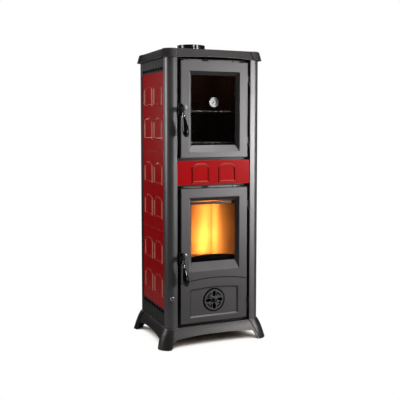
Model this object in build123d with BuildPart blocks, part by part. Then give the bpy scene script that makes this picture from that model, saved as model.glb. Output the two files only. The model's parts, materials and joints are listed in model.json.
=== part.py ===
from build123d import *
import os
from math import cos, radians, sin

# Upright wood cookstove: glazed oven door above a glazed fire door, tiled sides, cast base and top.
# Millimetres. Origin on the floor below the middle of the bounding box, front toward -Y, up +Z.
# Depths are counted backward from the front faces of the two columns.

# Casing
body_width = 430.0
body_depth = 340.0
base_height = 84.0
column_face = 47.0
column_radius = 32.0
column_side = 34.0
column_wall = 5.0
jamb_depth = 26.0
rear_radius = 6.0
sheet = 1.5
fit_gap = 0.3
running_gap = 0.05

# Front stack, from the base upward
foot_gap = 14.7
fire_door_height = 571.0
rail_gap = 14.5
front_tile_height = 102.0
oven_gap = 11.0
oven_door_height = 400.0
head_gap = 12.0

# Base casting
side_splay = 35.5
front_splay = 24.5
rear_splay = 22.0
splay_power = 0.75
skirt_steps = 3
base_wall = 9.0
deck_thickness = 8.0
block_step = 4.0
foot_width = 46.0
neck_width = 35.0
apron_drop = 36.0
apron_arch = 10.0
arch_fillet = 9.0

# Top plate and flue collar
plate_height = 37.0
plate_web = 10.0
plate_overhang = 16.0
plate_top_overhang = 6.0
plate_rear_overhang = 10.0
plate_bow = 5.0
plate_arch = 5.5
plate_land = 9.0
plate_edge = 3.0
pipe_radius = 60.0
pipe_clearance = 0.3
collar_wall = 3.7
collar_height = 44.0
collar_flange = 12.0
collar_flange_height = 5.0
collar_from_rear = 75.0
collar_screw_count = 4
collar_screw_radius = 3.0
collar_screw_head_radius = 5.0
collar_screw_head = 3.0

# Side panels and tiles
side_inset = 1.5
rear_strip = 25.0
tile_start = 37.0
tile_foot = 73.0
tile_head = 53.0
tile_count = 3
tile_thickness = 8.0
tile_joint = 0.6
motif_width = 106.0
motif_height = 93.0
motif_rise = 16.0
motif_flat = 30.0
motif_relief = 3.0
motif_bead = 10.0
motif_bevel = 45.0
motif_column_pitch = 125.0
motif_row_pitch = 143.0
front_motif_width = 83.0
front_motif_height = 83.0
front_motif_pitch = 122.0
front_motif_drop = 3.0
front_tile_depth = 4.0
vent_length = 26.0
vent_height = 13.0
vent_pitch = 33.0
vent_count = 8
vent_rise = 9.5
rear_vent_count = 7
rear_vent_length = 40.0
rear_vent_height = 6.0
rear_vent_pitch = 52.0
rear_vent_rows = 4
rear_vent_row_pitch = 16.0
rear_vent_edge = 70.0
flange_width = 20.0
screw_head_radius = 4.5
screw_head_height = 2.5
screw_inset = 9.0
screw_rows = 4

# Doors
door_gap = 14.25
door_proud = 4.0
door_thickness = 24.0
door_edge = 3.0
opening_inset = 37.75
bevel_side = 14.5
bevel_top = 15.5
bevel_sill = 28.4
bevel_depth = 15.0
glass_lip = 5.0
glass_thickness = 4.0
glass_overlap = 7.0
oven_rail_low = 24.6
oven_rail_high = 40.5
fire_rail_low = 219.3
fire_rail_high = 38.5
fire_sill = 37.0
frame_margin_x = 32.75
frame_margin_z = 25.0
seal_offset = 4.0
seal_width = 10.0
seal_groove = 3.0
clip_width = 26.0
clip_height = 12.0
clip_inset = 40.0
knuckle_radius = 5.0
knuckle_step = 1.0
knuckle_length = 24.0
knuckle_inset = 60.0
pin_radius = 3.0
hinge_setback = 1.0
bracket_length = 15.0

# Fire door relief
arch_peak = 190.0
arch_drop = 16.0
arch_recess = 2.5
panel_inset = 40.75
panel_low = 22.3
panel_high = 141.3
panel_arch = 8.0
panel_depth = 5.0
panel_bevel = 50.0
panel_web = 6.0
rosette_height = 89.8
rosette_radius = 44.0
rosette_pocket = 51.0
rosette_pocket_depth = 3.0
rosette_thickness = 5.0
rosette_leaves = 4
leaf_inner = 14.0
leaf_outer = 40.0
leaf_width = 15.0
hook_orbit = 33.0
hook_sweep = 40.0
hook_end = (12.3, 15.8)
hook_width = 5.0
hook_depth = 2.0
rosette_knob_radius = 9.0
rosette_knob_length = 12.0
rosette_shank_radius = 4.0

# Handles
hub_overhang = 3.25
oven_hub_height = 199.0
fire_hub_height = 283.0
bracket_width = 22.0
bracket_height = 54.0
bracket_plate = 4.0
boss_reach = 18.0
boss_rise = 10.0
boss_radius = 8.5
boss_length = 9.0
barrel_radius = 8.5
barrel_reach = 18.0
barrel_depth = 16.0
spindle_radius = 4.0
hub_radius = 11.0
hub_length = 11.0
arm_radius = 6.0
arm_dip = 0.4
ferrule_radius = 7.5
ferrule_height = 8.0
grip_standoff = 48.0
grip_drop = 31.0
grip_length = 82.0
grip_radius = 13.5
grip_top_radius = 6.2
grip_lean = 8.0
grip_waist = (9.0, 20.0)
grip_belly = 52.0
grip_heel = (9.6, 75.0)
tongue_reach = 18.0
tongue_half = 5.0
tongue_thickness = 4.0
tongue_gap = 1.0
tongue_corner = 3.0
catch_width = 4.5
catch_height = 14.0
catch_depth = 8.0

# Thermometer
dial_height = 232.0
case_radius = 21.5
case_depth = 11.0
case_wall = 1.5
stem_radius = 4.0
stem_gap = 0.5
stem_nut_radius = 8.0
stem_nut_length = 5.0
probe_radius = 2.5
probe_length = 25.0
dial_thickness = 1.0
lens_thickness = 1.5
lens_setback = 1.0
pointer_length = 15.0
pointer_tail = 5.0
pointer_width = 1.6
pointer_thickness = 0.8
pointer_hub = 2.4

# Inner casing, oven and firebox
frame_plate = 4.0
frame_side = 25.0
casing_side = 63.0
casing_rear = 9.5
casing_head = 9.0
casing_wall = 3.0
oven_wall = 2.0
oven_rear = 58.0
rack_wire = 2.5
rack_cross_wire = 2.2
rack_bar_wire = 1.8
rack_side = 4.0
rack_front = 10.0
rack_bars = 9
rack_levels = (34.0, 168.0)
ledge_width = 6.0
ledge_height = 3.0
brick_thickness = 28.0
brick_height = 330.0
hearth_height = 246.0
hearth_thickness = 12.0
grate_width = 170.0
grate_length = 150.0
grate_thickness = 10.0
grate_slots = 7
grate_slot_width = 10.0
grate_slot_length = 118.0
grate_slot_pitch = 22.0
grate_ledge = 6.0
guard_height = 50.0
guard_thickness = 10.0
guard_gap = 3.0
strip_height = 12.0
strip_below_opening = 35.0
strip_thickness = 3.7
strip_overlap = 14.0
baffle_thickness = 15.0
baffle_front = 30.0
drawer_height = 100.0
drawer_wall = 3.0
drawer_gap = 6.0
drawer_rear_gap = 10.0
drawer_pull_width = 90.0
drawer_pull_reach = 12.0
drawer_pull_height = 60.0
runner_width = 20.0
runner_inset = 20.0
rail_height = 6.0
rail_half = 146.0
rail_depth = 10.0
rail_notch = 4.0
rail_notch_place = 117.0

# Secondary air pull
pull_height = 129.5
pull_offset = 14.0
pull_radius = 3.0
pull_knob_radius = 8.0
pull_knob_length = 10.0
pull_stem = 5.0
shutter_start = 60.0
shutter_length = 70.0
shutter_height = 50.0
shutter_thickness = 3.0
shutter_arm = 10.0
air_port_radius = 15.0

# Levels that follow from the stack
fire_door_low = base_height + foot_gap
fire_door_top = fire_door_low + fire_door_height
front_tile_low = fire_door_top + rail_gap
front_tile_top = front_tile_low + front_tile_height
oven_door_low = front_tile_top + oven_gap
oven_door_top = oven_door_low + oven_door_height
casing_top = oven_door_top + head_gap
plate_top = casing_top + plate_height
collar_top = plate_top + collar_height

# Places that follow from the widths and depths
front_reach = grip_standoff + grip_radius
front_y = (front_reach - body_depth - rear_splay) / 2
half_width = body_width / 2
jamb_x = half_width - column_face
door_half = jamb_x - door_gap
door_back = door_thickness - door_proud
hinge_x = jamb_x - door_gap / 2
hub_x = -(door_half + hub_overhang)
frame_half = door_half - frame_margin_x
frame_rear = jamb_depth + frame_plate
casing_half = half_width - casing_side
casing_inner = casing_half - casing_wall
casing_back = body_depth - casing_rear
side_face = half_width - side_inset
tile_end = body_depth - rear_strip
tile_width = tile_end - tile_start
tile_low = base_height + tile_foot
tile_high = casing_top - tile_head
tile_pitch = (tile_high - tile_low) / tile_count
tile_face = half_width - motif_relief
tile_back = tile_face - tile_thickness
collar_depth = body_depth - collar_from_rear
collar_radius = pipe_radius + pipe_clearance + collar_wall
oven_low = oven_door_low + frame_margin_z
oven_high = oven_door_top - frame_margin_z
fire_low = fire_door_low + frame_margin_z
fire_high = fire_door_top - frame_margin_z
hearth_low = base_height + hearth_height - hearth_thickness
hearth_top = base_height + hearth_height
brick_top = hearth_top + brick_height
glass_front = bevel_depth - door_proud + glass_lip
oven_hub_z = oven_door_low + oven_hub_height
fire_hub_z = fire_door_low + fire_hub_height
dial_z = oven_door_low + dial_height
rosette_z = fire_door_low + rosette_height
pull_x = -(half_width - column_radius + pull_offset)
pull_z = base_height + pull_height


def front_plane(depth):
    """Upright plane at one depth, drawn in X and Z, facing the viewer."""
    return Plane.XZ.offset(-(front_y + depth))


def block(x_span, depth_span, z_span, mode=Mode.ADD):
    """Rectangular block between three pairs of limits."""
    centre = (sum(x_span) / 2, front_y + sum(depth_span) / 2, sum(z_span) / 2)
    with Locations(centre):
        Box(x_span[1] - x_span[0], depth_span[1] - depth_span[0], z_span[1] - z_span[0], mode=mode)


def level_rod(x, z, depth_span, radius, mode=Mode.ADD):
    """Round bar or hole running from front to back."""
    centre = (x, front_y + sum(depth_span) / 2, z)
    with Locations(Location(centre, (90, 0, 0))):
        Cylinder(radius, depth_span[1] - depth_span[0], mode=mode)


def upright_rod(x, depth, z_span, radius, mode=Mode.ADD):
    """Round bar or hole standing upright."""
    with Locations((x, front_y + depth, sum(z_span) / 2)):
        Cylinder(radius, z_span[1] - z_span[0], mode=mode)


def casing_outline(height, side, front, rear, bow=0.0):
    """Plan of the casing at one height, grown outward by the three given amounts."""
    half = half_width + side
    y_front = front_y - front
    y_rear = front_y + body_depth + rear
    r_front = column_radius + min(side, front)
    r_rear = max(rear_radius + min(side, rear), fit_gap)
    with BuildSketch(Plane.XY.offset(height)) as outline:
        with BuildLine():
            CenterArc((-half + r_front, y_front + r_front), r_front, 180, 90)
            if bow:
                Line((-half + r_front, y_front), (-jamb_x, y_front))
                ThreePointArc((-jamb_x, y_front), (0, y_front - bow), (jamb_x, y_front))
                Line((jamb_x, y_front), (half - r_front, y_front))
            else:
                Line((-half + r_front, y_front), (half - r_front, y_front))
            CenterArc((half - r_front, y_front + r_front), r_front, 270, 90)
            Line((half, y_front + r_front), (half, y_rear - r_rear))
            CenterArc((half - r_rear, y_rear - r_rear), r_rear, 0, 90)
            Line((half - r_rear, y_rear), (-half + r_rear, y_rear))
            CenterArc((-half + r_rear, y_rear - r_rear), r_rear, 90, 90)
            Line((-half, y_rear - r_rear), (-half, y_front + r_front))
        make_face()
    return outline.sketch


def corner_zone(low, high, lean_x, lean_front, lean_rear):
    """Space around the four corner blocks, bounded by creases that lean outward going down."""
    reach = body_width + body_depth
    y_a = front_y + column_side
    y_b = front_y + body_depth - column_side
    with BuildPart() as zone:
        with BuildSketch(Plane.XZ):
            with BuildLine():
                Polyline((-reach, low), (-jamb_x - lean_x, low), (-jamb_x, high), (-reach, high), close=True)
            make_face()
            mirror(about=Plane.YZ)
        extrude(amount=reach, both=True)
        with BuildSketch(Plane.YZ):
            with BuildLine():
                Polyline((-reach, low), (y_a - lean_front, low), (y_a, high), (-reach, high), close=True)
            make_face()
            with BuildLine():
                Polyline((reach, low), (y_b + lean_rear, low), (y_b, high), (reach, high), close=True)
            make_face()
        extrude(amount=reach, both=True, mode=Mode.INTERSECT)
    return zone.part


# Base casting
def splay_at(height, total):
    """Outward reach of the flared skirt at one height."""
    return total * (1 - height / base_height) ** splay_power


def skirt_outlines(grow, top):
    """Plans of the flared skirt from the floor up to the given height."""
    plans = []
    for step in range(skirt_steps + 1):
        height = top * step / skirt_steps
        side = splay_at(height, side_splay) + grow
        front = splay_at(height, front_splay) + grow
        rear = splay_at(height, rear_splay) + grow
        plans.append(casing_outline(height, side, front, rear))
    return plans


base_foot_x = half_width + side_splay - foot_width
base_neck_x = half_width - neck_width
arch_end_z = base_height - apron_drop - apron_arch
arch_mid_z = base_height - apron_drop
through = body_width + body_depth

with BuildPart() as base:
    loft(skirt_outlines(block_step, base_height))
    add(corner_zone(0, base_height, foot_width, front_splay, rear_splay), mode=Mode.INTERSECT)
    loft(skirt_outlines(0, base_height))
    loft(skirt_outlines(-base_wall, base_height - deck_thickness), mode=Mode.SUBTRACT)
    with BuildSketch(Plane.XZ):
        with BuildLine():
            Line((-base_foot_x, -1), (-base_neck_x, arch_end_z))
            ThreePointArc((-base_neck_x, arch_end_z), (0, arch_mid_z), (base_neck_x, arch_end_z))
            Line((base_neck_x, arch_end_z), (base_foot_x, -1))
            Line((base_foot_x, -1), (-base_foot_x, -1))
        face = make_face()
        fillet(face.vertices().group_by(Axis.Y)[-1], arch_fillet)
    extrude(amount=through, both=True, mode=Mode.SUBTRACT)
    front_foot = front_y - front_splay + foot_width
    front_neck = front_y + neck_width
    rear_foot = front_y + body_depth + rear_splay - foot_width
    rear_neck = front_y + body_depth - neck_width
    with BuildSketch(Plane.YZ):
        with BuildLine():
            Line((front_foot, -1), (front_neck, arch_end_z))
            middle = ((front_neck + rear_neck) / 2, arch_mid_z)
            ThreePointArc((front_neck, arch_end_z), middle, (rear_neck, arch_end_z))
            Line((rear_neck, arch_end_z), (rear_foot, -1))
            Line((rear_foot, -1), (front_foot, -1))
        face = make_face()
        fillet(face.vertices().group_by(Axis.Y)[-1], arch_fillet)
    extrude(amount=through, both=True, mode=Mode.SUBTRACT)

# Front columns: hollow castings with a rounded outer corner and a jamb beside the doors
with BuildPart() as left_column:
    outer = -half_width
    inner = -half_width + column_wall
    arc_x = -half_width + column_radius
    arc_y = front_y + column_radius
    side_end = front_y + column_side
    jamb_end = front_y + jamb_depth
    with BuildSketch(Plane.XY.offset(base_height)):
        with BuildLine():
            Line((-jamb_x, front_y), (arc_x, front_y))
            CenterArc((arc_x, arc_y), column_radius, 180, 90)
            Line((outer, arc_y), (outer, side_end))
            Line((outer, side_end), (inner, side_end))
            Line((inner, side_end), (inner, arc_y))
            CenterArc((arc_x, arc_y), column_radius - column_wall, 180, 90)
            Line((arc_x, front_y + column_wall), (-jamb_x - column_wall, front_y + column_wall))
            Line((-jamb_x - column_wall, front_y + column_wall), (-jamb_x - column_wall, jamb_end))
            Line((-jamb_x - column_wall, jamb_end), (-jamb_x, jamb_end))
            Line((-jamb_x, jamb_end), (-jamb_x, front_y))
        make_face()
    extrude(amount=casing_top - base_height)
    level_rod(pull_x, pull_z, (-column_side, column_side), pull_radius + running_gap, Mode.SUBTRACT)

with BuildPart() as right_column:
    with BuildSketch(Plane.XY.offset(base_height)):
        with BuildLine():
            Line((jamb_x, front_y), (-arc_x, front_y))
            CenterArc((-arc_x, arc_y), column_radius, 270, 90)
            Line((-outer, arc_y), (-outer, side_end))
            Line((-outer, side_end), (-inner, side_end))
            Line((-inner, side_end), (-inner, arc_y))
            CenterArc((-arc_x, arc_y), column_radius - column_wall, 270, 90)
            Line((-arc_x, front_y + column_wall), (jamb_x + column_wall, front_y + column_wall))
            Line((jamb_x + column_wall, front_y + column_wall), (jamb_x + column_wall, jamb_end))
            Line((jamb_x + column_wall, jamb_end), (jamb_x, jamb_end))
            Line((jamb_x, jamb_end), (jamb_x, front_y))
        make_face()
    extrude(amount=casing_top - base_height)

# Top plate: flared rim, proud corner blocks, arched front edge, hollow underneath
plate_slope = plate_overhang - plate_top_overhang
plate_rear_top = plate_rear_overhang - plate_slope / 2


def plate_plans(grow, bow=0.0):
    """Plans of the top plate at its foot, below its top edge and on its top face."""
    edge_z = plate_top - plate_edge
    top = plate_top_overhang + grow
    rear = plate_rear_top + grow
    low = plate_overhang + grow
    foot = casing_outline(casing_top, low, low, plate_rear_overhang + grow, bow)
    shoulder = casing_outline(edge_z, top, top, rear, bow)
    face = casing_outline(plate_top, top - plate_edge, top - plate_edge, rear - plate_edge, bow)
    return [foot, shoulder, face]


with BuildPart() as top_plate:
    loft(plate_plans(0), ruled=True)
    add(corner_zone(casing_top, plate_top, plate_slope, plate_slope, plate_slope), mode=Mode.INTERSECT)
    loft(plate_plans(-block_step, plate_bow), ruled=True)
    cavity_low = casing_outline(casing_top, -plate_land, -plate_land, -plate_land)
    extrude(cavity_low, amount=plate_height - plate_web, mode=Mode.SUBTRACT)
    with BuildSketch(Plane.XZ.offset(-(front_y - plate_overhang - plate_bow - fit_gap))):
        with BuildLine():
            ThreePointArc((-jamb_x, casing_top), (0, casing_top + plate_arch), (jamb_x, casing_top))
            Line((jamb_x, casing_top), (-jamb_x, casing_top))
        make_face()
    extrude(amount=-(plate_overhang + plate_bow + fit_gap + plate_land), mode=Mode.SUBTRACT)
    upright_rod(0, collar_depth, (casing_top, plate_top), collar_radius + fit_gap, Mode.SUBTRACT)

# Flue collar standing on the plate, its tube reaching down to the inner casing
with BuildPart() as flue_collar:
    collar_low = casing_top - casing_head
    upright_rod(0, collar_depth, (collar_low, collar_top), collar_radius)
    flange_top = plate_top + collar_flange_height
    upright_rod(0, collar_depth, (plate_top, flange_top), collar_radius + collar_flange)
    upright_rod(0, collar_depth, (collar_low, collar_top), pipe_radius + pipe_clearance, Mode.SUBTRACT)
    screw_orbit = collar_radius + collar_flange / 2
    with Locations((0, front_y + collar_depth, flange_top)):
        with PolarLocations(screw_orbit, collar_screw_count, 45):
            Hole(collar_screw_radius + fit_gap, depth=collar_flange_height)

with BuildPart() as collar_screws:
    with Locations((0, front_y + collar_depth, flange_top)):
        with PolarLocations(screw_orbit, collar_screw_count, 45):
            shank = (Align.CENTER, Align.CENTER, Align.MAX)
            Cylinder(collar_screw_radius, collar_flange_height, align=shank)
            head = (Align.CENTER, Align.CENTER, Align.MIN)
            Cylinder(collar_screw_head_radius, collar_screw_head, align=head)


# Side panels: folded sheet with a window for the tiles and a row of vents above and below
def side_panel(side):
    """Left (-1) or right (1) panel."""
    y_rear = front_y + body_depth
    with BuildPart() as panel:
        with BuildSketch(Plane.YZ.offset(side * side_face)):
            with Locations((front_y + (column_side + body_depth) / 2, (base_height + casing_top) / 2)):
                Rectangle(body_depth - column_side, casing_top - base_height)
            with Locations((front_y + (tile_start + tile_end) / 2, (tile_low + tile_high) / 2)):
                window_width = tile_width + 2 * tile_joint
                window_height = tile_high - tile_low + 2 * tile_joint
                Rectangle(window_width, window_height, mode=Mode.SUBTRACT)
            for level in (tile_low - sheet - vent_rise, tile_high + sheet + vent_rise):
                with Locations((front_y + (tile_start + tile_end) / 2, level)):
                    with GridLocations(vent_pitch, 1, vent_count, 1):
                        SlotOverall(vent_length, vent_height, mode=Mode.SUBTRACT)
        extrude(amount=-side * sheet)
        inner_x = sorted((side * (side_face - sheet), side * (side_face - sheet - flange_width)))
        flange_rear = body_depth - sheet
        block(inner_x, (flange_rear - sheet, flange_rear), (base_height, casing_top))
        lap_x = sorted((side * (side_face - sheet), side * (side_face - 2 * sheet)))
        block(lap_x, (flange_rear - 2 * sheet, body_depth - sheet), (base_height, casing_top))
    return panel.part


# Tile trays: shallow open boxes behind each stack of side tiles
def tile_tray(side):
    """Left (-1) or right (1) tray."""
    floor_x = sorted((side * tile_back, side * (tile_back - sheet)))
    full_x = sorted((side * (side_face - sheet), side * (tile_back - sheet)))
    room_x = sorted((side * half_width, side * tile_back))
    edge = tile_joint + sheet
    room = (tile_start - tile_joint, tile_end + tile_joint)
    room_z = (tile_low - tile_joint, tile_high + tile_joint)
    with BuildPart() as tray:
        block(full_x, (tile_start - edge, tile_end + edge), (tile_low - edge, tile_high + edge))
        block(room_x, room, room_z, Mode.SUBTRACT)
        slot_room = (tile_start + motif_width / 2, tile_end - motif_width / 2)
        for row in range(tile_count):
            low = tile_low + row * tile_pitch + motif_height
            high = tile_low + (row + 1) * tile_pitch - motif_height
            block(floor_x, slot_room, (low, high), Mode.SUBTRACT)
    return tray.part


def motif_face(width, height):
    """Raised bead round one tile panel: upright sides and arched shoulders."""
    shoulder = height / 2 - motif_rise
    bend_x = (width + motif_flat) / 4 + motif_rise / 12
    bend_y = height / 2 - motif_rise * 5 / 12
    with BuildSketch() as motif:
        with BuildLine():
            Line((-motif_flat / 2, height / 2), (motif_flat / 2, height / 2))
            ThreePointArc((motif_flat / 2, height / 2), (bend_x, bend_y), (width / 2, shoulder))
            Line((width / 2, shoulder), (width / 2, -height / 2))
            Line((width / 2, -height / 2), (-width / 2, -height / 2))
            Line((-width / 2, -height / 2), (-width / 2, shoulder))
            ThreePointArc((-width / 2, shoulder), (-bend_x, bend_y), (-motif_flat / 2, height / 2))
        make_face()
        offset(amount=-motif_bead, kind=Kind.INTERSECTION, mode=Mode.SUBTRACT)
    return motif.sketch


def side_tile(side, row):
    """Glazed side tile carrying two columns and two rows of beaded panels."""
    low = tile_low + row * tile_pitch + tile_joint / 2
    high = tile_low + (row + 1) * tile_pitch - tile_joint / 2
    middle_y = front_y + (tile_start + tile_end) / 2
    middle_z = (low + high) / 2
    x_dir = (0, side, 0)
    wall = Plane(origin=(side * tile_face, middle_y, middle_z), x_dir=x_dir, z_dir=(side, 0, 0))
    with BuildPart() as tile:
        with BuildSketch(wall):
            Rectangle(tile_width, high - low)
        extrude(amount=-tile_thickness)
        with BuildSketch(wall):
            with GridLocations(motif_column_pitch, motif_row_pitch, 2, 2):
                add(motif_face(motif_width, motif_height))
        extrude(amount=motif_relief, taper=motif_bevel)
    return tile.part


left_tile_lower = side_tile(-1, 0)
left_tile_middle = side_tile(-1, 1)
left_tile_upper = side_tile(-1, 2)
right_tile_lower = side_tile(1, 0)
right_tile_middle = side_tile(1, 1)
right_tile_upper = side_tile(1, 2)

# Front tile between the two doors
front_tile_half = jamb_x - tile_joint
front_tile_middle = (front_tile_low + front_tile_top) / 2
with BuildPart() as front_tile:
    with BuildSketch(front_plane(front_tile_depth)):
        with Locations((0, front_tile_middle)):
            Rectangle(2 * front_tile_half, front_tile_height)
    extrude(amount=-tile_thickness)
    with BuildSketch(front_plane(front_tile_depth)):
        with Locations((0, front_tile_middle - front_motif_drop)):
            with GridLocations(front_motif_pitch, 1, 2, 1):
                add(motif_face(front_motif_width, front_motif_height))
    extrude(amount=motif_relief, taper=motif_bevel)

# Back panel with vent rows at the foot and head
with BuildPart() as back_panel:
    back_half = half_width - side_inset - 3 * sheet
    with BuildSketch(front_plane(body_depth - sheet)):
        with Locations((0, (base_height + casing_top) / 2)):
            Rectangle(2 * back_half, casing_top - base_height)
        for level in (base_height + rear_vent_edge, casing_top - rear_vent_edge):
            with Locations((0, level)):
                with GridLocations(rear_vent_pitch, rear_vent_row_pitch, rear_vent_count, rear_vent_rows):
                    SlotOverall(rear_vent_length, rear_vent_height, mode=Mode.SUBTRACT)
    extrude(amount=-sheet)

screw_half = half_width - side_inset - sheet - flange_width / 2
screw_span = casing_top - base_height - 4 * screw_inset
with BuildPart() as back_panel_screws:
    with BuildSketch(front_plane(body_depth)):
        with Locations((0, (base_height + casing_top) / 2)):
            with GridLocations(2 * screw_half, screw_span / (screw_rows - 1), 2, screw_rows):
                Circle(screw_head_radius)
    extrude(amount=-screw_head_height)

# Front frame: plate behind the doors with two openings, the front tile holder and two door catches
with BuildPart() as front_frame:
    holder = (front_tile_depth + tile_thickness, jamb_depth)
    holder_z = (front_tile_low + tile_thickness, front_tile_top - tile_thickness)
    block((-door_half, door_half), holder, holder_z)
    hollow_z = (holder_z[0] + 2 * sheet, holder_z[1] - 2 * sheet)
    block((-door_half, door_half), (holder[0] + 2 * sheet, holder[1]), hollow_z, Mode.SUBTRACT)
    for hub_z in (oven_hub_z, fire_hub_z):
        catch_z = (hub_z - tongue_reach - catch_height, hub_z - tongue_reach)
        block((-jamb_x, -jamb_x + catch_width), (door_back - catch_depth, jamb_depth), catch_z)
    plate_half = half_width - frame_side
    block((-plate_half, plate_half), (jamb_depth, frame_rear), (base_height, casing_top))
    block((-frame_half, frame_half), (0, frame_rear), (oven_low, oven_high), Mode.SUBTRACT)
    block((-frame_half, frame_half), (0, frame_rear), (fire_low, fire_high), Mode.SUBTRACT)

# Air rails above the two doors, each with two notches
with BuildPart() as air_rails:
    for door_top in (fire_door_top, oven_door_top):
        rail_z = (door_top + sheet, door_top + sheet + rail_height)
        block((-rail_half, rail_half), (jamb_depth - rail_depth, jamb_depth), rail_z)
        for side in (-1, 1):
            notch = (side * rail_notch_place - rail_notch / 2, side * rail_notch_place + rail_notch / 2)
            block(notch, (0, jamb_depth - rail_depth / 2), rail_z, Mode.SUBTRACT)

# Inner casing of welded sheet, open at the front against the frame
casing_z = (base_height, casing_top - casing_head)
with BuildPart() as inner_casing:
    block((-casing_half, casing_half), (frame_rear, casing_back), casing_z)
    room_z = (casing_z[0] + casing_wall, casing_z[1] - casing_wall)
    room = (frame_rear, casing_back - casing_wall)
    block((-casing_inner, casing_inner), room, room_z, Mode.SUBTRACT)
    smoke_hole = (casing_z[1] - casing_wall, casing_z[1])
    upright_rod(0, collar_depth, smoke_hole, pipe_radius + pipe_clearance, Mode.SUBTRACT)
    port_depth = shutter_start + shutter_length / 2
    with Locations(Location((-casing_half + casing_wall / 2, front_y + port_depth, pull_z), (0, 90, 0))):
        Cylinder(air_port_radius, 2 * casing_wall, mode=Mode.SUBTRACT)

# Oven box with two pairs of rack ledges
oven_half = frame_half + 2 * oven_wall
oven_inner = oven_half - oven_wall
oven_back = casing_back - oven_rear
oven_box_z = (oven_low - 2 * oven_wall, oven_high + 2 * oven_wall)
with BuildPart() as oven_box:
    block((-oven_half, oven_half), (frame_rear, oven_back), oven_box_z)
    oven_room_z = (oven_box_z[0] + oven_wall, oven_box_z[1] - oven_wall)
    block((-oven_inner, oven_inner), (frame_rear, oven_back - oven_wall), oven_room_z, Mode.SUBTRACT)
    for level in rack_levels:
        for side in (-1, 1):
            ledge_x = sorted((side * oven_inner, side * (oven_inner - ledge_width)))
            ledge_z = (oven_low + level - ledge_height, oven_low + level)
            block(ledge_x, (frame_rear + rack_front, oven_back - oven_wall), ledge_z)


# Two wire shelves: round-bar frames with cross bars
rack_rear = oven_back - oven_wall - rack_side - rack_wire
rack_half = oven_inner - rack_side
with BuildPart() as oven_racks:
    for level in rack_levels:
        rack_z = oven_low + level + rack_wire
        rack_start = frame_rear + rack_front + rack_wire
        for x in (-rack_half, rack_half):
            level_rod(x, rack_z, (rack_start - rack_wire, rack_rear + rack_wire), rack_wire)
        for depth in (rack_start, rack_rear):
            with Locations(Location((0, front_y + depth, rack_z), (0, 90, 0))):
                Cylinder(rack_cross_wire, 2 * rack_half)
        for number in range(1, rack_bars + 1):
            x = -rack_half + 2 * rack_half * number / (rack_bars + 1)
            level_rod(x, rack_z, (rack_start, rack_rear), rack_bar_wire)

# Firebox lining
brick_front = frame_rear + strip_thickness + fit_gap
brick_rear = casing_back - casing_wall - brick_thickness
brick_z = (hearth_top, brick_top)
with BuildPart() as left_brick:
    brick_x = (-casing_inner, -casing_inner + brick_thickness)
    block(brick_x, (brick_front, brick_rear - fit_gap), brick_z)
    chamfer(left_brick.edges().filter_by(Axis.Z).sort_by(Axis.Y)[:2], rack_side)

with BuildPart() as right_brick:
    brick_x = (casing_inner - brick_thickness, casing_inner)
    block(brick_x, (brick_front, brick_rear - fit_gap), brick_z)
    chamfer(right_brick.edges().filter_by(Axis.Z).sort_by(Axis.Y)[:2], rack_side)

with BuildPart() as rear_brick:
    block((-casing_inner, casing_inner), (brick_rear, casing_back - casing_wall), brick_z)

# Hearth plate and the grate that drops into it
grate_middle = (brick_front + brick_rear) / 2
grate_room = (grate_middle - grate_length / 2 - fit_gap, grate_middle + grate_length / 2 + fit_gap)
with BuildPart() as hearth:
    hearth_z = (hearth_low, hearth_top)
    block((-casing_inner, casing_inner), (frame_rear, casing_back - casing_wall), hearth_z)
    room_half = grate_width / 2 + fit_gap
    block((-room_half, room_half), grate_room, (hearth_top - grate_thickness, hearth_top), Mode.SUBTRACT)
    drop_half = grate_width / 2 - grate_ledge
    drop = (grate_room[0] + grate_ledge, grate_room[1] - grate_ledge)
    block((-drop_half, drop_half), drop, hearth_z, Mode.SUBTRACT)

with BuildPart() as grate:
    with BuildSketch(Plane.XY.offset(hearth_top - grate_thickness)):
        with Locations((0, front_y + grate_middle)):
            Rectangle(grate_width, grate_length)
            with GridLocations(grate_slot_pitch, 1, grate_slots, 1):
                SlotOverall(grate_slot_length, grate_slot_width, rotation=90, mode=Mode.SUBTRACT)
    extrude(amount=grate_thickness)

# Log guard standing on the hearth behind the fire glass
brick_inner = casing_inner - brick_thickness
with BuildPart() as log_guard:
    guard_half = brick_inner - guard_gap
    guard_start = brick_front + guard_gap
    with BuildSketch(front_plane(guard_start)):
        with BuildLine():
            Line((-guard_half, hearth_top), (guard_half, hearth_top))
            Line((guard_half, hearth_top), (guard_half, hearth_top + guard_height - apron_arch))
            crown = (0, hearth_top + guard_height)
            left_end = (-guard_half, hearth_top + guard_height - apron_arch)
            right_end = (guard_half, hearth_top + guard_height - apron_arch)
            ThreePointArc(right_end, crown, left_end)
            Line(left_end, (-guard_half, hearth_top))
        make_face()
    extrude(amount=-guard_thickness)

# Air-wash strip across the head of the fire opening
with BuildPart() as air_strip:
    strip_half = frame_half + strip_overlap
    strip_top = fire_high - strip_below_opening
    strip_z = (strip_top - strip_height, strip_top)
    block((-strip_half, strip_half), (frame_rear, frame_rear + strip_thickness), strip_z)

# Baffle lying on the bricks
with BuildPart() as baffle:
    baffle_z = (brick_top, brick_top + baffle_thickness)
    block((-casing_inner, casing_inner), (frame_rear + baffle_front, casing_back - casing_wall), baffle_z)

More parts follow.
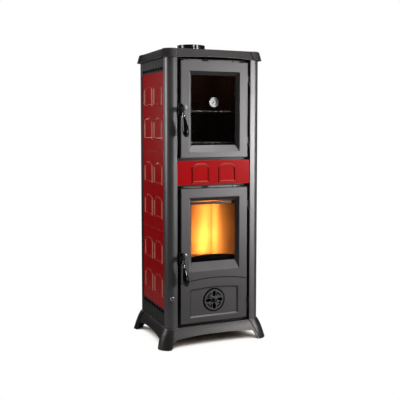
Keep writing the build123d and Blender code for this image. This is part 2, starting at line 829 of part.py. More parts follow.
# Ash drawer on two runners
drawer_low = fire_low + 2 * sheet
drawer_half = frame_half - drawer_gap
drawer_front = frame_rear + fit_gap
drawer_back = casing_back - casing_wall - drawer_rear_gap
with BuildPart() as ash_runners:
    for side in (-1, 1):
        outer_x = side * (drawer_half - runner_inset)
        inner_x = side * (drawer_half - runner_inset - runner_width)
        span = sorted((outer_x, inner_x))
        runner_z = (base_height + casing_wall, drawer_low)
        block(span, (frame_rear, drawer_back), runner_z)
        core = (span[0] + 2 * sheet, span[1] - 2 * sheet)
        block(core, (frame_rear, drawer_back), (runner_z[0], runner_z[1] - 2 * sheet), Mode.SUBTRACT)

with BuildPart() as ash_drawer:
    drawer_z = (drawer_low, drawer_low + drawer_height)
    block((-drawer_half, drawer_half), (drawer_front, drawer_back), drawer_z)
    room_x = (-drawer_half + drawer_wall, drawer_half - drawer_wall)
    room = (drawer_front + drawer_wall, drawer_back - drawer_wall)
    block(room_x, room, (drawer_z[0] + drawer_wall, drawer_z[1]), Mode.SUBTRACT)

# Folded pull on the front of the ash drawer
with BuildPart() as ash_drawer_pull:
    pull_half = drawer_pull_width / 2
    pull_low = drawer_low + drawer_pull_height
    pull_tip = drawer_front - drawer_pull_reach
    block((-pull_half, pull_half), (pull_tip, drawer_front), (pull_low, pull_low + sheet))
    block((-pull_half, pull_half), (pull_tip, pull_tip + sheet), (pull_low - drawer_pull_reach, pull_low))


# Door frames
def window_span(low, high, rail_low, rail_high):
    """Lower and upper limit of a bevelled window between its two rails."""
    return (low + rail_low, high - rail_high)


oven_window = window_span(oven_door_low, oven_door_top, oven_rail_low, oven_rail_high)
fire_window = window_span(fire_door_low, fire_door_top, fire_rail_low, fire_rail_high)
window_half = door_half - opening_inset
sight_half = window_half - bevel_side
oven_sight = (oven_window[0] + bevel_sill, oven_window[1] - bevel_top)
fire_sight = (fire_window[0] + fire_sill, fire_window[1] - bevel_top)
oven_knuckles = (oven_door_low + knuckle_inset, oven_door_top - knuckle_inset - knuckle_length)
fire_knuckles = (fire_door_low + knuckle_inset, fire_door_top - knuckle_inset - knuckle_length)
notch_radius = barrel_radius + fit_gap


def seal_limits(opening):
    """Outer and inner limits of the seal ring around one frame opening."""
    outer = (frame_half + seal_offset + seal_width, opening[0] - seal_offset - seal_width,
             opening[1] + seal_offset + seal_width)
    inner = (frame_half + seal_offset, opening[0] - seal_offset, opening[1] + seal_offset)
    return outer, inner


def door_blank(span, window, sight, knuckles, hub_z, opening):
    """Cast door frame: bevelled window, glass seat, seal groove, hinge knuckles, handle notch."""
    with BuildPart() as blank:
        block((-door_half, door_half), (-door_proud, door_back), span)
        fillet(blank.faces().sort_by(Axis.Y)[0].edges(), door_edge)
        with BuildSketch(front_plane(-door_proud)) as mouth:
            with Locations((0, sum(window) / 2)):
                Rectangle(2 * window_half, window[1] - window[0])
        with BuildSketch(front_plane(bevel_depth - door_proud)) as throat:
            with Locations((0, sum(sight) / 2)):
                Rectangle(2 * sight_half, sight[1] - sight[0])
        loft([mouth.sketch, throat.sketch], ruled=True, mode=Mode.SUBTRACT)
        block((-sight_half, sight_half), (0, door_back), sight, Mode.SUBTRACT)
        seat_half = sight_half + glass_overlap + fit_gap
        seat = (sight[0] - glass_overlap - fit_gap, sight[1] + glass_overlap + fit_gap)
        block((-seat_half, seat_half), (glass_front, door_back), seat, Mode.SUBTRACT)
        ring_outer, ring_inner = seal_limits(opening)
        with BuildSketch(front_plane(door_back)):
            with Locations((0, (opening[0] + opening[1]) / 2)):
                Rectangle(2 * ring_outer[0], ring_outer[2] - ring_outer[1])
                Rectangle(2 * ring_inner[0], ring_inner[2] - ring_inner[1], mode=Mode.SUBTRACT)
        extrude(amount=seal_groove, mode=Mode.SUBTRACT)
        level_rod(hub_x, hub_z, (-door_proud, door_back), notch_radius, Mode.SUBTRACT)
        for start in knuckles:
            eye = (start, start + knuckle_length)
            ear = (hinge_setback - knuckle_radius, hinge_setback + knuckle_radius)
            block((door_half - door_edge, hinge_x), ear, eye)
            upright_rod(hinge_x, hinge_setback, eye, knuckle_radius)
            upright_rod(hinge_x, hinge_setback, eye, pin_radius + running_gap, Mode.SUBTRACT)
    return blank.part


with BuildPart() as oven_door:
    oven_span = (oven_door_low, oven_door_top)
    oven_opening = (oven_low, oven_high)
    add(door_blank(oven_span, oven_window, oven_sight, oven_knuckles, oven_hub_z, oven_opening))

# Fire door: arched step, recessed panel and the seat of the air rosette below the window
step_face = arch_recess - door_proud
panel_face = step_face + panel_depth
pocket_floor = panel_face + rosette_pocket_depth
panel_half = door_half - panel_inset
panel_sides = fire_door_low + panel_high
panel_floor = fire_door_low + panel_low


def leaf_faces(margin):
    """Four leaf-shaped openings around the rosette centre."""
    length = leaf_outer - leaf_inner
    with BuildSketch() as leaves:
        with PolarLocations((leaf_inner + leaf_outer) / 2, rosette_leaves, 0):
            Ellipse(length / 2 + margin, leaf_width / 2 + margin)
    return leaves.sketch


def hook_faces():
    """Four hooks between the leaves: an arc along the rim that turns in toward the centre."""
    middle_angle = 180 / rosette_leaves
    with BuildSketch() as hook:
        with BuildLine():
            rim = CenterArc((0, 0), hook_orbit, middle_angle - hook_sweep / 2, hook_sweep)
            Line(rim @ 1, hook_end)
        trace(line_width=hook_width)
    with BuildSketch() as hooks:
        for turn in range(rosette_leaves):
            add(hook.sketch.rotate(Axis.Z, turn * 360 / rosette_leaves))
    return hooks.sketch


with BuildPart() as fire_door:
    fire_span = (fire_door_low, fire_door_top)
    fire_opening = (fire_low, fire_high)
    add(door_blank(fire_span, fire_window, fire_sight, fire_knuckles, fire_hub_z, fire_opening))
    arch_z = fire_door_low + arch_peak
    arch_side = arch_z - arch_drop
    with BuildSketch(front_plane(-door_proud)):
        with BuildLine():
            ThreePointArc((-door_half, arch_side), (0, arch_z), (door_half, arch_side))
            Line((door_half, arch_side), (door_half, fire_door_low))
            Line((door_half, fire_door_low), (-door_half, fire_door_low))
            Line((-door_half, fire_door_low), (-door_half, arch_side))
        make_face()
    extrude(amount=-arch_recess, mode=Mode.SUBTRACT)
    with BuildSketch(front_plane(step_face)):
        with BuildLine():
            crown = (0, panel_sides + panel_arch)
            ThreePointArc((-panel_half, panel_sides), crown, (panel_half, panel_sides))
            Line((panel_half, panel_sides), (panel_half, panel_floor))
            Line((panel_half, panel_floor), (-panel_half, panel_floor))
            Line((-panel_half, panel_floor), (-panel_half, panel_sides))
        make_face()
    extrude(amount=-panel_depth, taper=panel_bevel, mode=Mode.SUBTRACT)
    level_rod(0, rosette_z, (0, pocket_floor), rosette_pocket, Mode.SUBTRACT)
    hollow_half = panel_half + panel_web
    hollow_z = (fire_low + panel_web, panel_sides + panel_web)
    block((-hollow_half, hollow_half), (pocket_floor + panel_web, door_back), hollow_z, Mode.SUBTRACT)
    with BuildSketch(front_plane(pocket_floor)):
        with Locations((0, rosette_z)):
            add(leaf_faces(0))
    extrude(amount=-panel_web, mode=Mode.SUBTRACT)
    level_rod(0, rosette_z, (0, door_back), rosette_shank_radius + running_gap, Mode.SUBTRACT)

# Air rosette: leaf openings, sunk hooks between them, centre knob on a shank
disc_back = pocket_floor - fit_gap
disc_front = disc_back - rosette_thickness
with BuildPart() as rosette:
    with BuildSketch(front_plane(disc_back)):
        with Locations((0, rosette_z)):
            Circle(rosette_radius)
            add(leaf_faces(0), mode=Mode.SUBTRACT)
            Circle(rosette_shank_radius, mode=Mode.SUBTRACT)
    extrude(amount=rosette_thickness)
    with BuildSketch(front_plane(disc_front)):
        with Locations((0, rosette_z)):
            add(hook_faces())
    extrude(amount=-hook_depth, mode=Mode.SUBTRACT)

with BuildPart() as rosette_knob:
    level_rod(0, rosette_z, (disc_front - rosette_knob_length, disc_front), rosette_knob_radius)
    fillet(rosette_knob.faces().sort_by(Axis.Y)[0].edges(), door_edge)
    level_rod(0, rosette_z, (disc_front, pocket_floor + panel_web), rosette_shank_radius)


# Glass, clips and seals
def pane(sight, bore_z=None):
    """Flat ceramic glass in its seat, drilled when a height for the hole is given."""
    with BuildPart() as glass:
        half = sight_half + glass_overlap
        span = (sight[0] - glass_overlap, sight[1] + glass_overlap)
        block((-half, half), (glass_front, glass_front + glass_thickness), span)
        if bore_z:
            level_rod(0, bore_z, (0, door_thickness), stem_radius + stem_gap, Mode.SUBTRACT)
    return glass.part


def glass_clips(sight):
    """Four flat clips on the back of a door frame."""
    reach = sight_half + glass_overlap
    with BuildPart() as clips:
        with BuildSketch(front_plane(door_back)):
            with Locations((0, sum(sight) / 2)):
                with GridLocations(2 * reach, sight[1] - sight[0] - 2 * clip_inset, 2, 2):
                    Rectangle(clip_height, clip_width)
        extrude(amount=-sheet)
    return clips.part


def door_seal(opening):
    """Rope seal ring standing out of its groove toward the front frame."""
    ring_outer, ring_inner = seal_limits(opening)
    with BuildPart() as seal:
        with BuildSketch(front_plane(door_back - seal_groove)):
            with Locations((0, (opening[0] + opening[1]) / 2)):
                Rectangle(2 * ring_outer[0], ring_outer[2] - ring_outer[1])
                Rectangle(2 * ring_inner[0], ring_inner[2] - ring_inner[1], mode=Mode.SUBTRACT)
        extrude(amount=-(jamb_depth - fit_gap - door_back + seal_groove))
        fillet(seal.faces().sort_by(Axis.Y)[-1].edges(), seal_groove / 2)
    return seal.part


oven_glass = pane(oven_sight, dial_z)
fire_glass = pane(fire_sight)
oven_glass_clips = glass_clips(oven_sight)
fire_glass_clips = glass_clips(fire_sight)
oven_seal = door_seal((oven_low, oven_high))
fire_seal = door_seal((fire_low, fire_high))

# Thermometer in the oven glass
case_front = glass_front - case_depth
case_floor = glass_front - case_wall
with BuildPart() as thermometer_case:
    level_rod(0, dial_z, (case_front, glass_front), case_radius)
    chamfer(thermometer_case.faces().sort_by(Axis.Y)[0].edges(), case_wall / 2)
    level_rod(0, dial_z, (case_front, case_floor), case_radius - case_wall, Mode.SUBTRACT)
    stem_end = glass_front + glass_thickness
    level_rod(0, dial_z, (case_floor, stem_end + stem_nut_length), stem_radius)
    level_rod(0, dial_z, (stem_end, stem_end + stem_nut_length), stem_nut_radius)
    level_rod(0, dial_z, (stem_end, stem_end + probe_length), probe_radius)

with BuildPart() as thermometer_dial:
    level_rod(0, dial_z, (case_floor - dial_thickness, case_floor), case_radius - case_wall)

lens_front = case_front + lens_setback
with BuildPart() as thermometer_lens:
    level_rod(0, dial_z, (lens_front, lens_front + lens_thickness), case_radius - case_wall)

pointer_back = case_floor - dial_thickness - fit_gap
with BuildPart() as thermometer_pointer:
    with BuildSketch(front_plane(pointer_back)):
        with Locations((0, dial_z)):
            Circle(pointer_hub)
            needle = [(-pointer_length, 0), (pointer_tail, -pointer_width), (pointer_tail, pointer_width)]
            Polygon(*needle, rotation=45, align=None)
    extrude(amount=pointer_thickness)

# Hinge brackets on the right jamb, each with a lift-off pin standing on it
with BuildPart() as hinge_brackets:
    for start in oven_knuckles + fire_knuckles:
        span = (start - fit_gap - bracket_length, start - fit_gap)
        arm = (hinge_setback - knuckle_radius + knuckle_step, hinge_setback + knuckle_radius)
        block((hinge_x, jamb_x), arm, span)
        upright_rod(hinge_x, hinge_setback, span, knuckle_radius)
        upright_rod(hinge_x, hinge_setback, (span[0], start + knuckle_length), pin_radius)


# Handles
def handle_bracket(hub_z):
    """Oblong plate on the door edge with a barrel for the spindle and an ear bolted to the door."""
    barrel_front = -door_proud - barrel_reach
    plate_x = hub_x + hub_overhang
    with BuildPart() as bracket:
        with BuildSketch(front_plane(-door_proud)):
            with Locations((plate_x, hub_z)):
                SlotOverall(bracket_height, bracket_width, rotation=90)
            with Locations((plate_x + boss_reach, hub_z + boss_rise)):
                Circle(boss_radius)
        extrude(amount=bracket_plate)
        fillet(bracket.faces().sort_by(Axis.Y)[0].edges(), bracket_plate / 2)
        boss_z = hub_z + boss_rise
        stud_radius = boss_radius - bracket_plate / 2
        stud = (-door_proud - boss_length, -door_proud)
        level_rod(plate_x + boss_reach, boss_z, stud, stud_radius)
        level_rod(hub_x, hub_z, (barrel_front, barrel_depth), barrel_radius)
        level_rod(hub_x, hub_z, (barrel_front, barrel_depth), spindle_radius + running_gap, Mode.SUBTRACT)
    return bracket.part


def grip_axis_plane(hub_z):
    """Plane through the grip axis: across in its first direction, down the grip in its second."""
    lean = radians(grip_lean)
    origin = (hub_x, front_y - grip_standoff, hub_z - grip_drop)
    return Plane(origin=origin, x_dir=(0, -1, 0), z_dir=(cos(lean), 0, sin(lean)))


def handle_lever(hub_z):
    """Hub and spindle with a bent arm ending in a ferrule above the grip."""
    hub_back = -door_proud - barrel_reach - fit_gap
    hub_front = hub_back - hub_length
    axis_plane = grip_axis_plane(hub_z)
    with BuildPart() as lever:
        level_rod(hub_x, hub_z, (hub_front, hub_back), hub_radius)
        fillet(lever.faces().sort_by(Axis.Y)[0].edges(), door_edge)
        level_rod(hub_x, hub_z, (hub_back, door_back + tongue_gap), spindle_radius)
        with BuildLine() as bend:
            start = (hub_x, front_y + (hub_front + hub_back) / 2, hub_z)
            end = axis_plane.origin
            Spline(start, end, tangents=[(0, -1, -arm_dip), axis_plane.y_dir])
        with BuildSketch(Plane(origin=bend.line @ 0, z_dir=bend.line % 0)):
            Circle(arm_radius)
        sweep(path=bend.line)
        with BuildSketch(Plane(origin=axis_plane.origin, z_dir=axis_plane.y_dir)):
            Circle(ferrule_radius)
        extrude(amount=-ferrule_height)
    return lever.part


def handle_grip(hub_z):
    """Turned drop-shaped grip hanging from the lever."""
    axis_plane = grip_axis_plane(hub_z)
    with BuildPart() as grip:
        with BuildSketch(axis_plane):
            with BuildLine():
                Line((0, 0), (grip_top_radius, 0))
                belly = (grip_radius, grip_belly)
                Spline((grip_top_radius, 0), grip_waist, belly, grip_heel, (0, grip_length))
                Line((0, grip_length), (0, 0))
            make_face()
        revolve(axis=Axis(axis_plane.origin, axis_plane.y_dir))
    return grip.part


def latch_tongue(hub_z):
    """Flat tongue on the rear end of the spindle."""
    with BuildPart() as tongue:
        back = door_back + tongue_gap
        tongue_x = (hub_x - tongue_half, hub_x + tongue_half)
        block(tongue_x, (back, back + tongue_thickness), (hub_z - tongue_reach, hub_z + tongue_half))
        fillet(tongue.edges().filter_by(Axis.Y), tongue_corner)
    return tongue.part


oven_handle_bracket = handle_bracket(oven_hub_z)
fire_handle_bracket = handle_bracket(fire_hub_z)
oven_handle_lever = handle_lever(oven_hub_z)
fire_handle_lever = handle_lever(fire_hub_z)
oven_handle_grip = handle_grip(oven_hub_z)
fire_handle_grip = handle_grip(fire_hub_z)
oven_latch_tongue = latch_tongue(oven_hub_z)
fire_latch_tongue = latch_tongue(fire_hub_z)

# Secondary air: knob outside the left column, rod and shutter behind it
shutter_x = -casing_half - fit_gap
with BuildPart() as air_rod:
    level_rod(pull_x, pull_z, (-pull_stem, shutter_start + shutter_length), pull_radius)
    plate_x = (shutter_x - shutter_thickness, shutter_x)
    plate_z = (pull_z - shutter_height / 2, pull_z + shutter_height / 2)
    block(plate_x, (shutter_start, shutter_start + shutter_length), plate_z)
    arm_end = shutter_start + shutter_length
    arm_z = (pull_z - pull_radius, pull_z + pull_radius)
    block((pull_x, shutter_x), (arm_end - shutter_arm, arm_end), arm_z)

with BuildPart() as air_knob:
    level_rod(pull_x, pull_z, (-pull_stem - pull_knob_length, -pull_stem), pull_knob_radius)
    fillet(air_knob.faces().sort_by(Axis.Y)[0].edges(), pull_knob_length / 3)

pieces = {
    "base": base.part,
    "left_column": left_column.part,
    "right_column": right_column.part,
    "top_plate": top_plate.part,
    "flue_collar": flue_collar.part,
    "collar_screws": collar_screws.part,
    "left_side_panel": side_panel(-1),
    "right_side_panel": side_panel(1),
    "left_tile_tray": tile_tray(-1),
    "right_tile_tray": tile_tray(1),
    "left_tile_lower": left_tile_lower,
    "left_tile_middle": left_tile_middle,
    "left_tile_upper": left_tile_upper,
    "right_tile_lower": right_tile_lower,
    "right_tile_middle": right_tile_middle,
    "right_tile_upper": right_tile_upper,
    "front_tile": front_tile.part,
    "back_panel": back_panel.part,
    "back_panel_screws": back_panel_screws.part,
    "front_frame": front_frame.part,
    "air_rails": air_rails.part,
    "inner_casing": inner_casing.part,
    "oven_box": oven_box.part,
    "oven_racks": oven_racks.part,
    "left_brick": left_brick.part,
    "right_brick": right_brick.part,
    "rear_brick": rear_brick.part,
    "hearth": hearth.part,
    "grate": grate.part,
    "log_guard": log_guard.part,
    "air_strip": air_strip.part,
    "baffle": baffle.part,
    "ash_runners": ash_runners.part,
    "ash_drawer": ash_drawer.part,
    "ash_drawer_pull": ash_drawer_pull.part,
    "hinge_brackets": hinge_brackets.part,
    "oven_door": oven_door.part,
    "oven_glass": oven_glass,
    "oven_glass_clips": oven_glass_clips,
    "oven_seal": oven_seal,
    "thermometer_case": thermometer_case.part,
    "thermometer_dial": thermometer_dial.part,
    "thermometer_lens": thermometer_lens.part,
    "thermometer_pointer": thermometer_pointer.part,
    "oven_handle_bracket": oven_handle_bracket,
    "oven_handle_lever": oven_handle_lever,
    "oven_handle_grip": oven_handle_grip,
    "oven_latch_tongue": oven_latch_tongue,
    "fire_door": fire_door.part,
    "fire_glass": fire_glass,
    "fire_glass_clips": fire_glass_clips,
    "fire_seal": fire_seal,
    "rosette": rosette.part,
    "rosette_knob": rosette_knob.part,
    "fire_handle_bracket": fire_handle_bracket,
    "fire_handle_lever": fire_handle_lever,
    "fire_handle_grip": fire_handle_grip,
    "fire_latch_tongue": fire_latch_tongue,
    "air_rod": air_rod.part,
    "air_knob": air_knob.part,
}

os.makedirs("parts", exist_ok=True)
for name, piece in pieces.items():
    piece.label = name
    export_step(piece, f"parts/{name}.step")
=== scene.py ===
import json
from math import cos, radians, sin

import bpy
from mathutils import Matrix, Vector


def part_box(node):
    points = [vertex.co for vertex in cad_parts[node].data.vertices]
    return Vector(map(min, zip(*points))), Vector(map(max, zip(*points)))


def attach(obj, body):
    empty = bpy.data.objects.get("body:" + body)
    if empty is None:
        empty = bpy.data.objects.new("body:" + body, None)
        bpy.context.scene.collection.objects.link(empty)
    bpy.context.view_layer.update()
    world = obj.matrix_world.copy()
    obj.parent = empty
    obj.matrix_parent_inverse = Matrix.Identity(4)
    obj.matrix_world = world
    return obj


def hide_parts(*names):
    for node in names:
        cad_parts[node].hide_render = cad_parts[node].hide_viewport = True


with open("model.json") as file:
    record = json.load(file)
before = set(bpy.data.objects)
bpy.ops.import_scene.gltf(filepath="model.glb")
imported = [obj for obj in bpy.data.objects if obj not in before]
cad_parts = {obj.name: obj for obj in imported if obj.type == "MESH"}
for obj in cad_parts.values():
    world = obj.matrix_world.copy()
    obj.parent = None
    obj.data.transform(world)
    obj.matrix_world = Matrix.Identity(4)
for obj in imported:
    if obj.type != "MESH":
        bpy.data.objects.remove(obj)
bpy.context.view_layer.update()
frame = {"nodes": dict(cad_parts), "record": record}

# Upright wood cookstove: satin charcoal castings, red glazed tiles, two glazed doors.
# Metres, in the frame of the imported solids: front toward -Y, up +Z.

bpy.ops.object.select_all(action="DESELECT")

X_AXIS, Y_AXIS, Z_AXIS = range(3)
DOORS = ("oven", "fire")

# Camera of the photograph: place, heading to the right of +Y, dip below level, lens and shift
CAMERA_PLACE = (-1.1587, -2.7216, 0.9253)
CAMERA_HEADING = 23.017
CAMERA_DIP = 4.507
CAMERA_LENS = 60.312
CAMERA_SHIFT = -0.05

# Floor: its size, drop below the feet and fade into the surround, then the stove's shade on it,
# which is deep close to the stove and pale farther out
FLOOR_SIZE = 14.0
FLOOR_DROP = 0.0006
FLOOR_FADE = (0.55, 1.5)
FLOOR_SHADE_REACH = 0.5
FLOOR_SHADE_TINT = (1.0, 0.8, 0.66)
FLOOR_DARK_EDGE = 0.27
FLOOR_DARK_POWER = 3.8
FLOOR_PALE_EDGE = 0.6
FLOOR_PALE_SHARE = 0.1

# Surround: plain light on the stove, and the dim set, pale ceiling and white sweep that reflections
# and glass show, each edge given as a span of the ray's direction
WHITE = 1.0
AMBIENT = 0.08
SET_DIM = 0.01
CEILING_EDGE = (0.6, 0.95)
CEILING_LEVEL = 0.5
SWEEP_EDGE = (-0.1, 0.2)

# Soft boxes around the stove: name, azimuth (0 straight in front, positive to the right), height,
# distance, width and height of the box, power, height of the aim and angle of the beam
SOFT_BOXES = (
    ("key", 36, 0.9, 3.4, (0.4, 0.4), 4.4, 0.85, 60),
    ("low_front", 40, 0.25, 2.4, (0.8, 0.3), 0.5, 0.4, 100),
    ("left_card", -95, 1.15, 2.0, (0.4, 1.0), 4.3, 0.95, 120),
    ("left_rear", -145, 1.15, 2.0, (0.4, 1.0), 0.7, 0.95, 120),
    ("top_front", 22, 2.8, 1.6, (0.6, 0.6), 8.0, 0.8, 120),
    ("top_right", 65, 2.7, 1.8, (0.6, 0.6), 1.2, 0.8, 120),
    ("rear_fill", 178, 1.4, 2.6, (0.8, 1.0), 9.0, 0.8, 120),
    ("strip_right", 33, 1.665, 3.4, (0.7, 0.14), 0.1, 1.5, 12),
    ("strip_front", 4, 1.665, 3.4, (0.35, 0.14), 0.04, 1.5, 12),
)

# Glow in the firebox: a column of small warm lamps before the rear board, with the first and last
# lamp's share of the board's height, place across and power; one faint lamp under the oven's top
GLOW_LAMPS = 9
GLOW_SPAN = (0.04, 0.84)
GLOW_ACROSS = (0.074, 0.094)
GLOW_POWER = (0.6, 0.32)
GLOW_GAP = 0.032
GLOW_RADIUS = 0.03
GLOW_COLOUR = (1.0, 0.46, 0.1)
OVEN_GLOW_DROP = 0.03
OVEN_GLOW_RADIUS = 0.02
OVEN_GLOW_POWER = 0.4
OVEN_GLOW_COLOUR = (1.0, 0.62, 0.3)

# Door leaves: low corner, right edge past which the hinge ears lie, and the lean and depth of the
# window's slope on the handle side that carries a painted highlight
LEAF_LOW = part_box("oven_door")[0]
LEAF_MARGIN = 0.0004
LEAF_EDGE = -LEAF_LOW[X_AXIS] + LEAF_MARGIN
HIGHLIGHT_LEAN = 0.4
HIGHLIGHT_SINK = (0.008, 0.012)
HIGHLIGHT_DEPTH = tuple(LEAF_LOW[Y_AXIS] + sink for sink in HIGHLIGHT_SINK)

# Fire door: the air rosette and the skin of its face, the pocket around it with its ring painted
# black as shade, and the arched step with a painted shadow under it
ROSETTE_LOW, ROSETTE_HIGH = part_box("rosette")
ROSETTE_RISE = (ROSETTE_LOW[Z_AXIS] + ROSETTE_HIGH[Z_AXIS]) / 2
ROSETTE_RADIUS = (ROSETTE_HIGH[Z_AXIS] - ROSETTE_LOW[Z_AXIS]) / 2
FACE_SKIN = 0.0008
POCKET_GAP = 0.0072
POCKET_RADIUS = ROSETTE_RADIUS + POCKET_GAP
ARCH_RISE = 0.19
ARCH_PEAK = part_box("fire_door")[0][Z_AXIS] + ARCH_RISE
ARCH_RADIUS = 0.7467
STEP_SHADOW_DROP = 0.0016
STEP_SHADOW_EDGE = (0.0016, 0.0026)
STEP_SHADOW_SHARE = 0.85

# Air rails: middle and half length of the stretches painted dark as shadow, how dark they are, and
# the share of the half length at which they start to fade
RAIL_SHADOWS = ((-0.037, 0.018), (0.092, 0.004), (0.14, 0.02), (-0.14, 0.008))
RAIL_SHADOW_SHARE = 0.95
RAIL_SHADOW_FADE = 0.7

# Levers: radius of the hub, and how far below its middle the black paint ends and fades out
HUB_RADIUS = 0.011
HUB_PAINT = 0.014
HUB_FADE = 0.002

# Fire boards: heights between which soot gathers, and its share at the top
BOARD_SOOT_RISE = (0.42, 0.72)
BOARD_SOOT_SHARE = 0.75

# Stove paint: painted shade in the creases, and the black painted as shade in gaps and recesses
CREASE_REACH = 0.007
CREASE_SHADE_SHARE = 0.85
CREASE_SHADE_TONE = (0.02, 0.019, 0.019)
PAINTED_SHADE_BLACK = (0.004, 0.004, 0.004)

# Patterns: the span that holds most of a noise value, the cosines between which an edge starts and
# is full, the openness between which a crease is full and ends, and the samples that each takes
NOISE_SPAN = (0.3, 0.7)
EDGE_COSINES = (0.995, 0.85)
EDGE_SAMPLES = 6
CREASE_OPENNESS = (0.5, 0.95)
CREASE_SAMPLES = 8
FLOOR_SAMPLES = 16

# Handle trim: place of the bracket's ear, lean of the grip, and profiles in radius and height
EAR_RADIUS = 0.0085
EAR_FRONT = 0.004
EAR_RISE = 0.01
GRIP_LEAN = 8
GRIP_TILT = 0.00086
CAP_PROFILE = (
    (0.0082, 0), (0.0086, 0.0006), (0.0086, 0.0042), (0.008, 0.0054), (0.0062, 0.0064),
    (0.0034, 0.0071), (0.0008, 0.0073))
COLLAR_PROFILE = (
    (0.0078, 0), (0.0089, 0.0006), (0.0093, 0.0018), (0.0089, 0.003), (0.008, 0.0036),
    (0.008, 0.0062), (0.0085, 0.0068), (0.0085, 0.0076), (0.0076, 0.0082))

# Cross-slotted screws: heights of the heads, then shares of the head's radius and height for its
# profile and its two slots
BACK_SCREW_HEAD = 0.0025
COLLAR_SCREW_HEAD = 0.003
SCREW_PROFILE = ((1, 0), (1, 0.45), (0.9, 0.75), (0.62, 0.95), (0.3, 1))
SCREW_SLOT_LENGTH = 1.15
SCREW_SLOT_WIDTH = 0.24
SCREW_SLOT_DEPTH = 0.5
SCREW_SLOT_ANGLES = (20, 110)
SCREW_SEGMENTS = 32

# Slotted screw of the air rosette's knob
KNOB_SCREW_PROFILE = (
    (0.0026, 0), (0.0027, 0.0003), (0.0027, 0.0009), (0.0021, 0.0014), (0.0009, 0.0017))
KNOB_SCREW_SINK = 0.0002
KNOB_SLOT_LENGTH = 0.008
KNOB_SLOT_WIDTH = 0.0008
KNOB_SLOT_DEPTH = 0.0007
KNOB_SLOT_ANGLE = 30

# Thermometer scale: steps over the pointer's sweep from the left, start and sweep of the band, and
# the print's height; lengths and rings are shares of the dial's radius
DIAL_STEPS = 8
DIAL_SWEEP = 270
DEGREES_PER_STEP = 50
STEPS_PER_NUMBER = 2
MARK_RISE = 0.0001
TICK_LENGTH = 0.16
TICK_WIDTH = 0.04
TICK_RING = 0.84
BAND_START = -50
BAND_SWEEP = 105
BAND_SEGMENTS = 28
BAND_WIDTH = 0.16
BAND_RING = 0.66
BAND_RISE = MARK_RISE * 0.7
NUMBER_SIZE = 0.2
NUMBER_RING = 0.42

# Angle up to which faces are shaded smooth, and grid on which two corners count as one
SMOOTH_ANGLE = 35
CORNER_GRID = 1e-5


# Shader helpers
def add_node(tree, kind, **values):
    """A node with the given properties and input values; input names use spaces for underscores."""
    made = tree.nodes.new(kind)
    for name, value in values.items():
        socket = name.replace("_", " ")
        if socket in made.inputs:
            made.inputs[socket].default_value = value
        else:
            setattr(made, name, value)
    return made


def object_place(tree):
    """Object coordinates of a point on the piece."""
    return tree.nodes.new("ShaderNodeTexCoord").outputs["Object"]


def object_normal(tree):
    """Normal of the piece at a point, along the object's axes."""
    return tree.nodes.new("ShaderNodeTexCoord").outputs["Normal"]


def split_axes(tree, vector):
    """The three parts of a vector, as separate values."""
    split = tree.nodes.new("ShaderNodeSeparateXYZ")
    tree.links.new(vector, split.inputs["Vector"])
    return split.outputs["X"], split.outputs["Y"], split.outputs["Z"]


def mix_colours(tree, factor, first, second):
    """Colour between two colours or sockets, by a factor socket."""
    made = add_node(tree, "ShaderNodeMix", data_type="RGBA")
    tree.links.new(factor, made.inputs["Factor"])
    sockets = [socket for socket in made.inputs if socket.type == "RGBA"]
    for socket, colour in zip(sockets, (first, second)):
        if isinstance(colour, tuple):
            socket.default_value = (*colour, 1)
        else:
            tree.links.new(colour, socket)
    return next(socket for socket in made.outputs if socket.type == "RGBA")


def mix_shaders(tree, factor, first, second):
    """Shader between two shaders, by a factor socket."""
    made = tree.nodes.new("ShaderNodeMixShader")
    tree.links.new(factor, made.inputs["Fac"])
    tree.links.new(first, made.inputs[1])
    tree.links.new(second, made.inputs[2])
    return made.outputs["Shader"]


def remap(tree, value, span, levels):
    """A value taken from a span to two levels and held between them."""
    made = add_node(
        tree, "ShaderNodeMapRange",
        From_Min=span[0], From_Max=span[1], To_Min=levels[0], To_Max=levels[1])
    tree.links.new(value, made.inputs["Value"])
    return made.outputs["Result"]


def combine(tree, operation, first, second):
    """Two values joined by one operation; either may be a plain number."""
    made = add_node(tree, "ShaderNodeMath", operation=operation)
    for place, value in enumerate((first, second)):
        if isinstance(value, (int, float)):
            made.inputs[place].default_value = value
        else:
            tree.links.new(value, made.inputs[place])
    return made.outputs["Value"]


def absolute(tree, value):
    """A value without its sign."""
    made = add_node(tree, "ShaderNodeMath", operation="ABSOLUTE")
    tree.links.new(value, made.inputs[0])
    return made.outputs["Value"]


def vector_length(tree, vector):
    """Length of a vector."""
    made = add_node(tree, "ShaderNodeVectorMath", operation="LENGTH")
    tree.links.new(vector, made.inputs[0])
    return made.outputs["Value"]


def noise(tree, scale, detail=2.0, stretch=None):
    """Noise value in object space, stretched along the axes where a stretch is given."""
    vector = object_place(tree)
    if stretch:
        turn = add_node(tree, "ShaderNodeMapping", Scale=stretch)
        tree.links.new(vector, turn.inputs["Vector"])
        vector = turn.outputs["Vector"]
    made = add_node(tree, "ShaderNodeTexNoise", Scale=scale, Detail=detail)
    tree.links.new(vector, made.inputs["Vector"])
    return made.outputs["Fac"]


def new_group(name, inputs, outputs):
    """An empty shader group with named value inputs and outputs."""
    group = bpy.data.node_groups.new(name, "ShaderNodeTree")
    for title, value in inputs.items():
        socket = group.interface.new_socket(title, in_out="INPUT", socket_type="NodeSocketFloat")
        socket.default_value = value
    for title in outputs:
        group.interface.new_socket(title, in_out="OUTPUT", socket_type="NodeSocketFloat")
    return group, group.nodes.new("NodeGroupInput"), group.nodes.new("NodeGroupOutput")


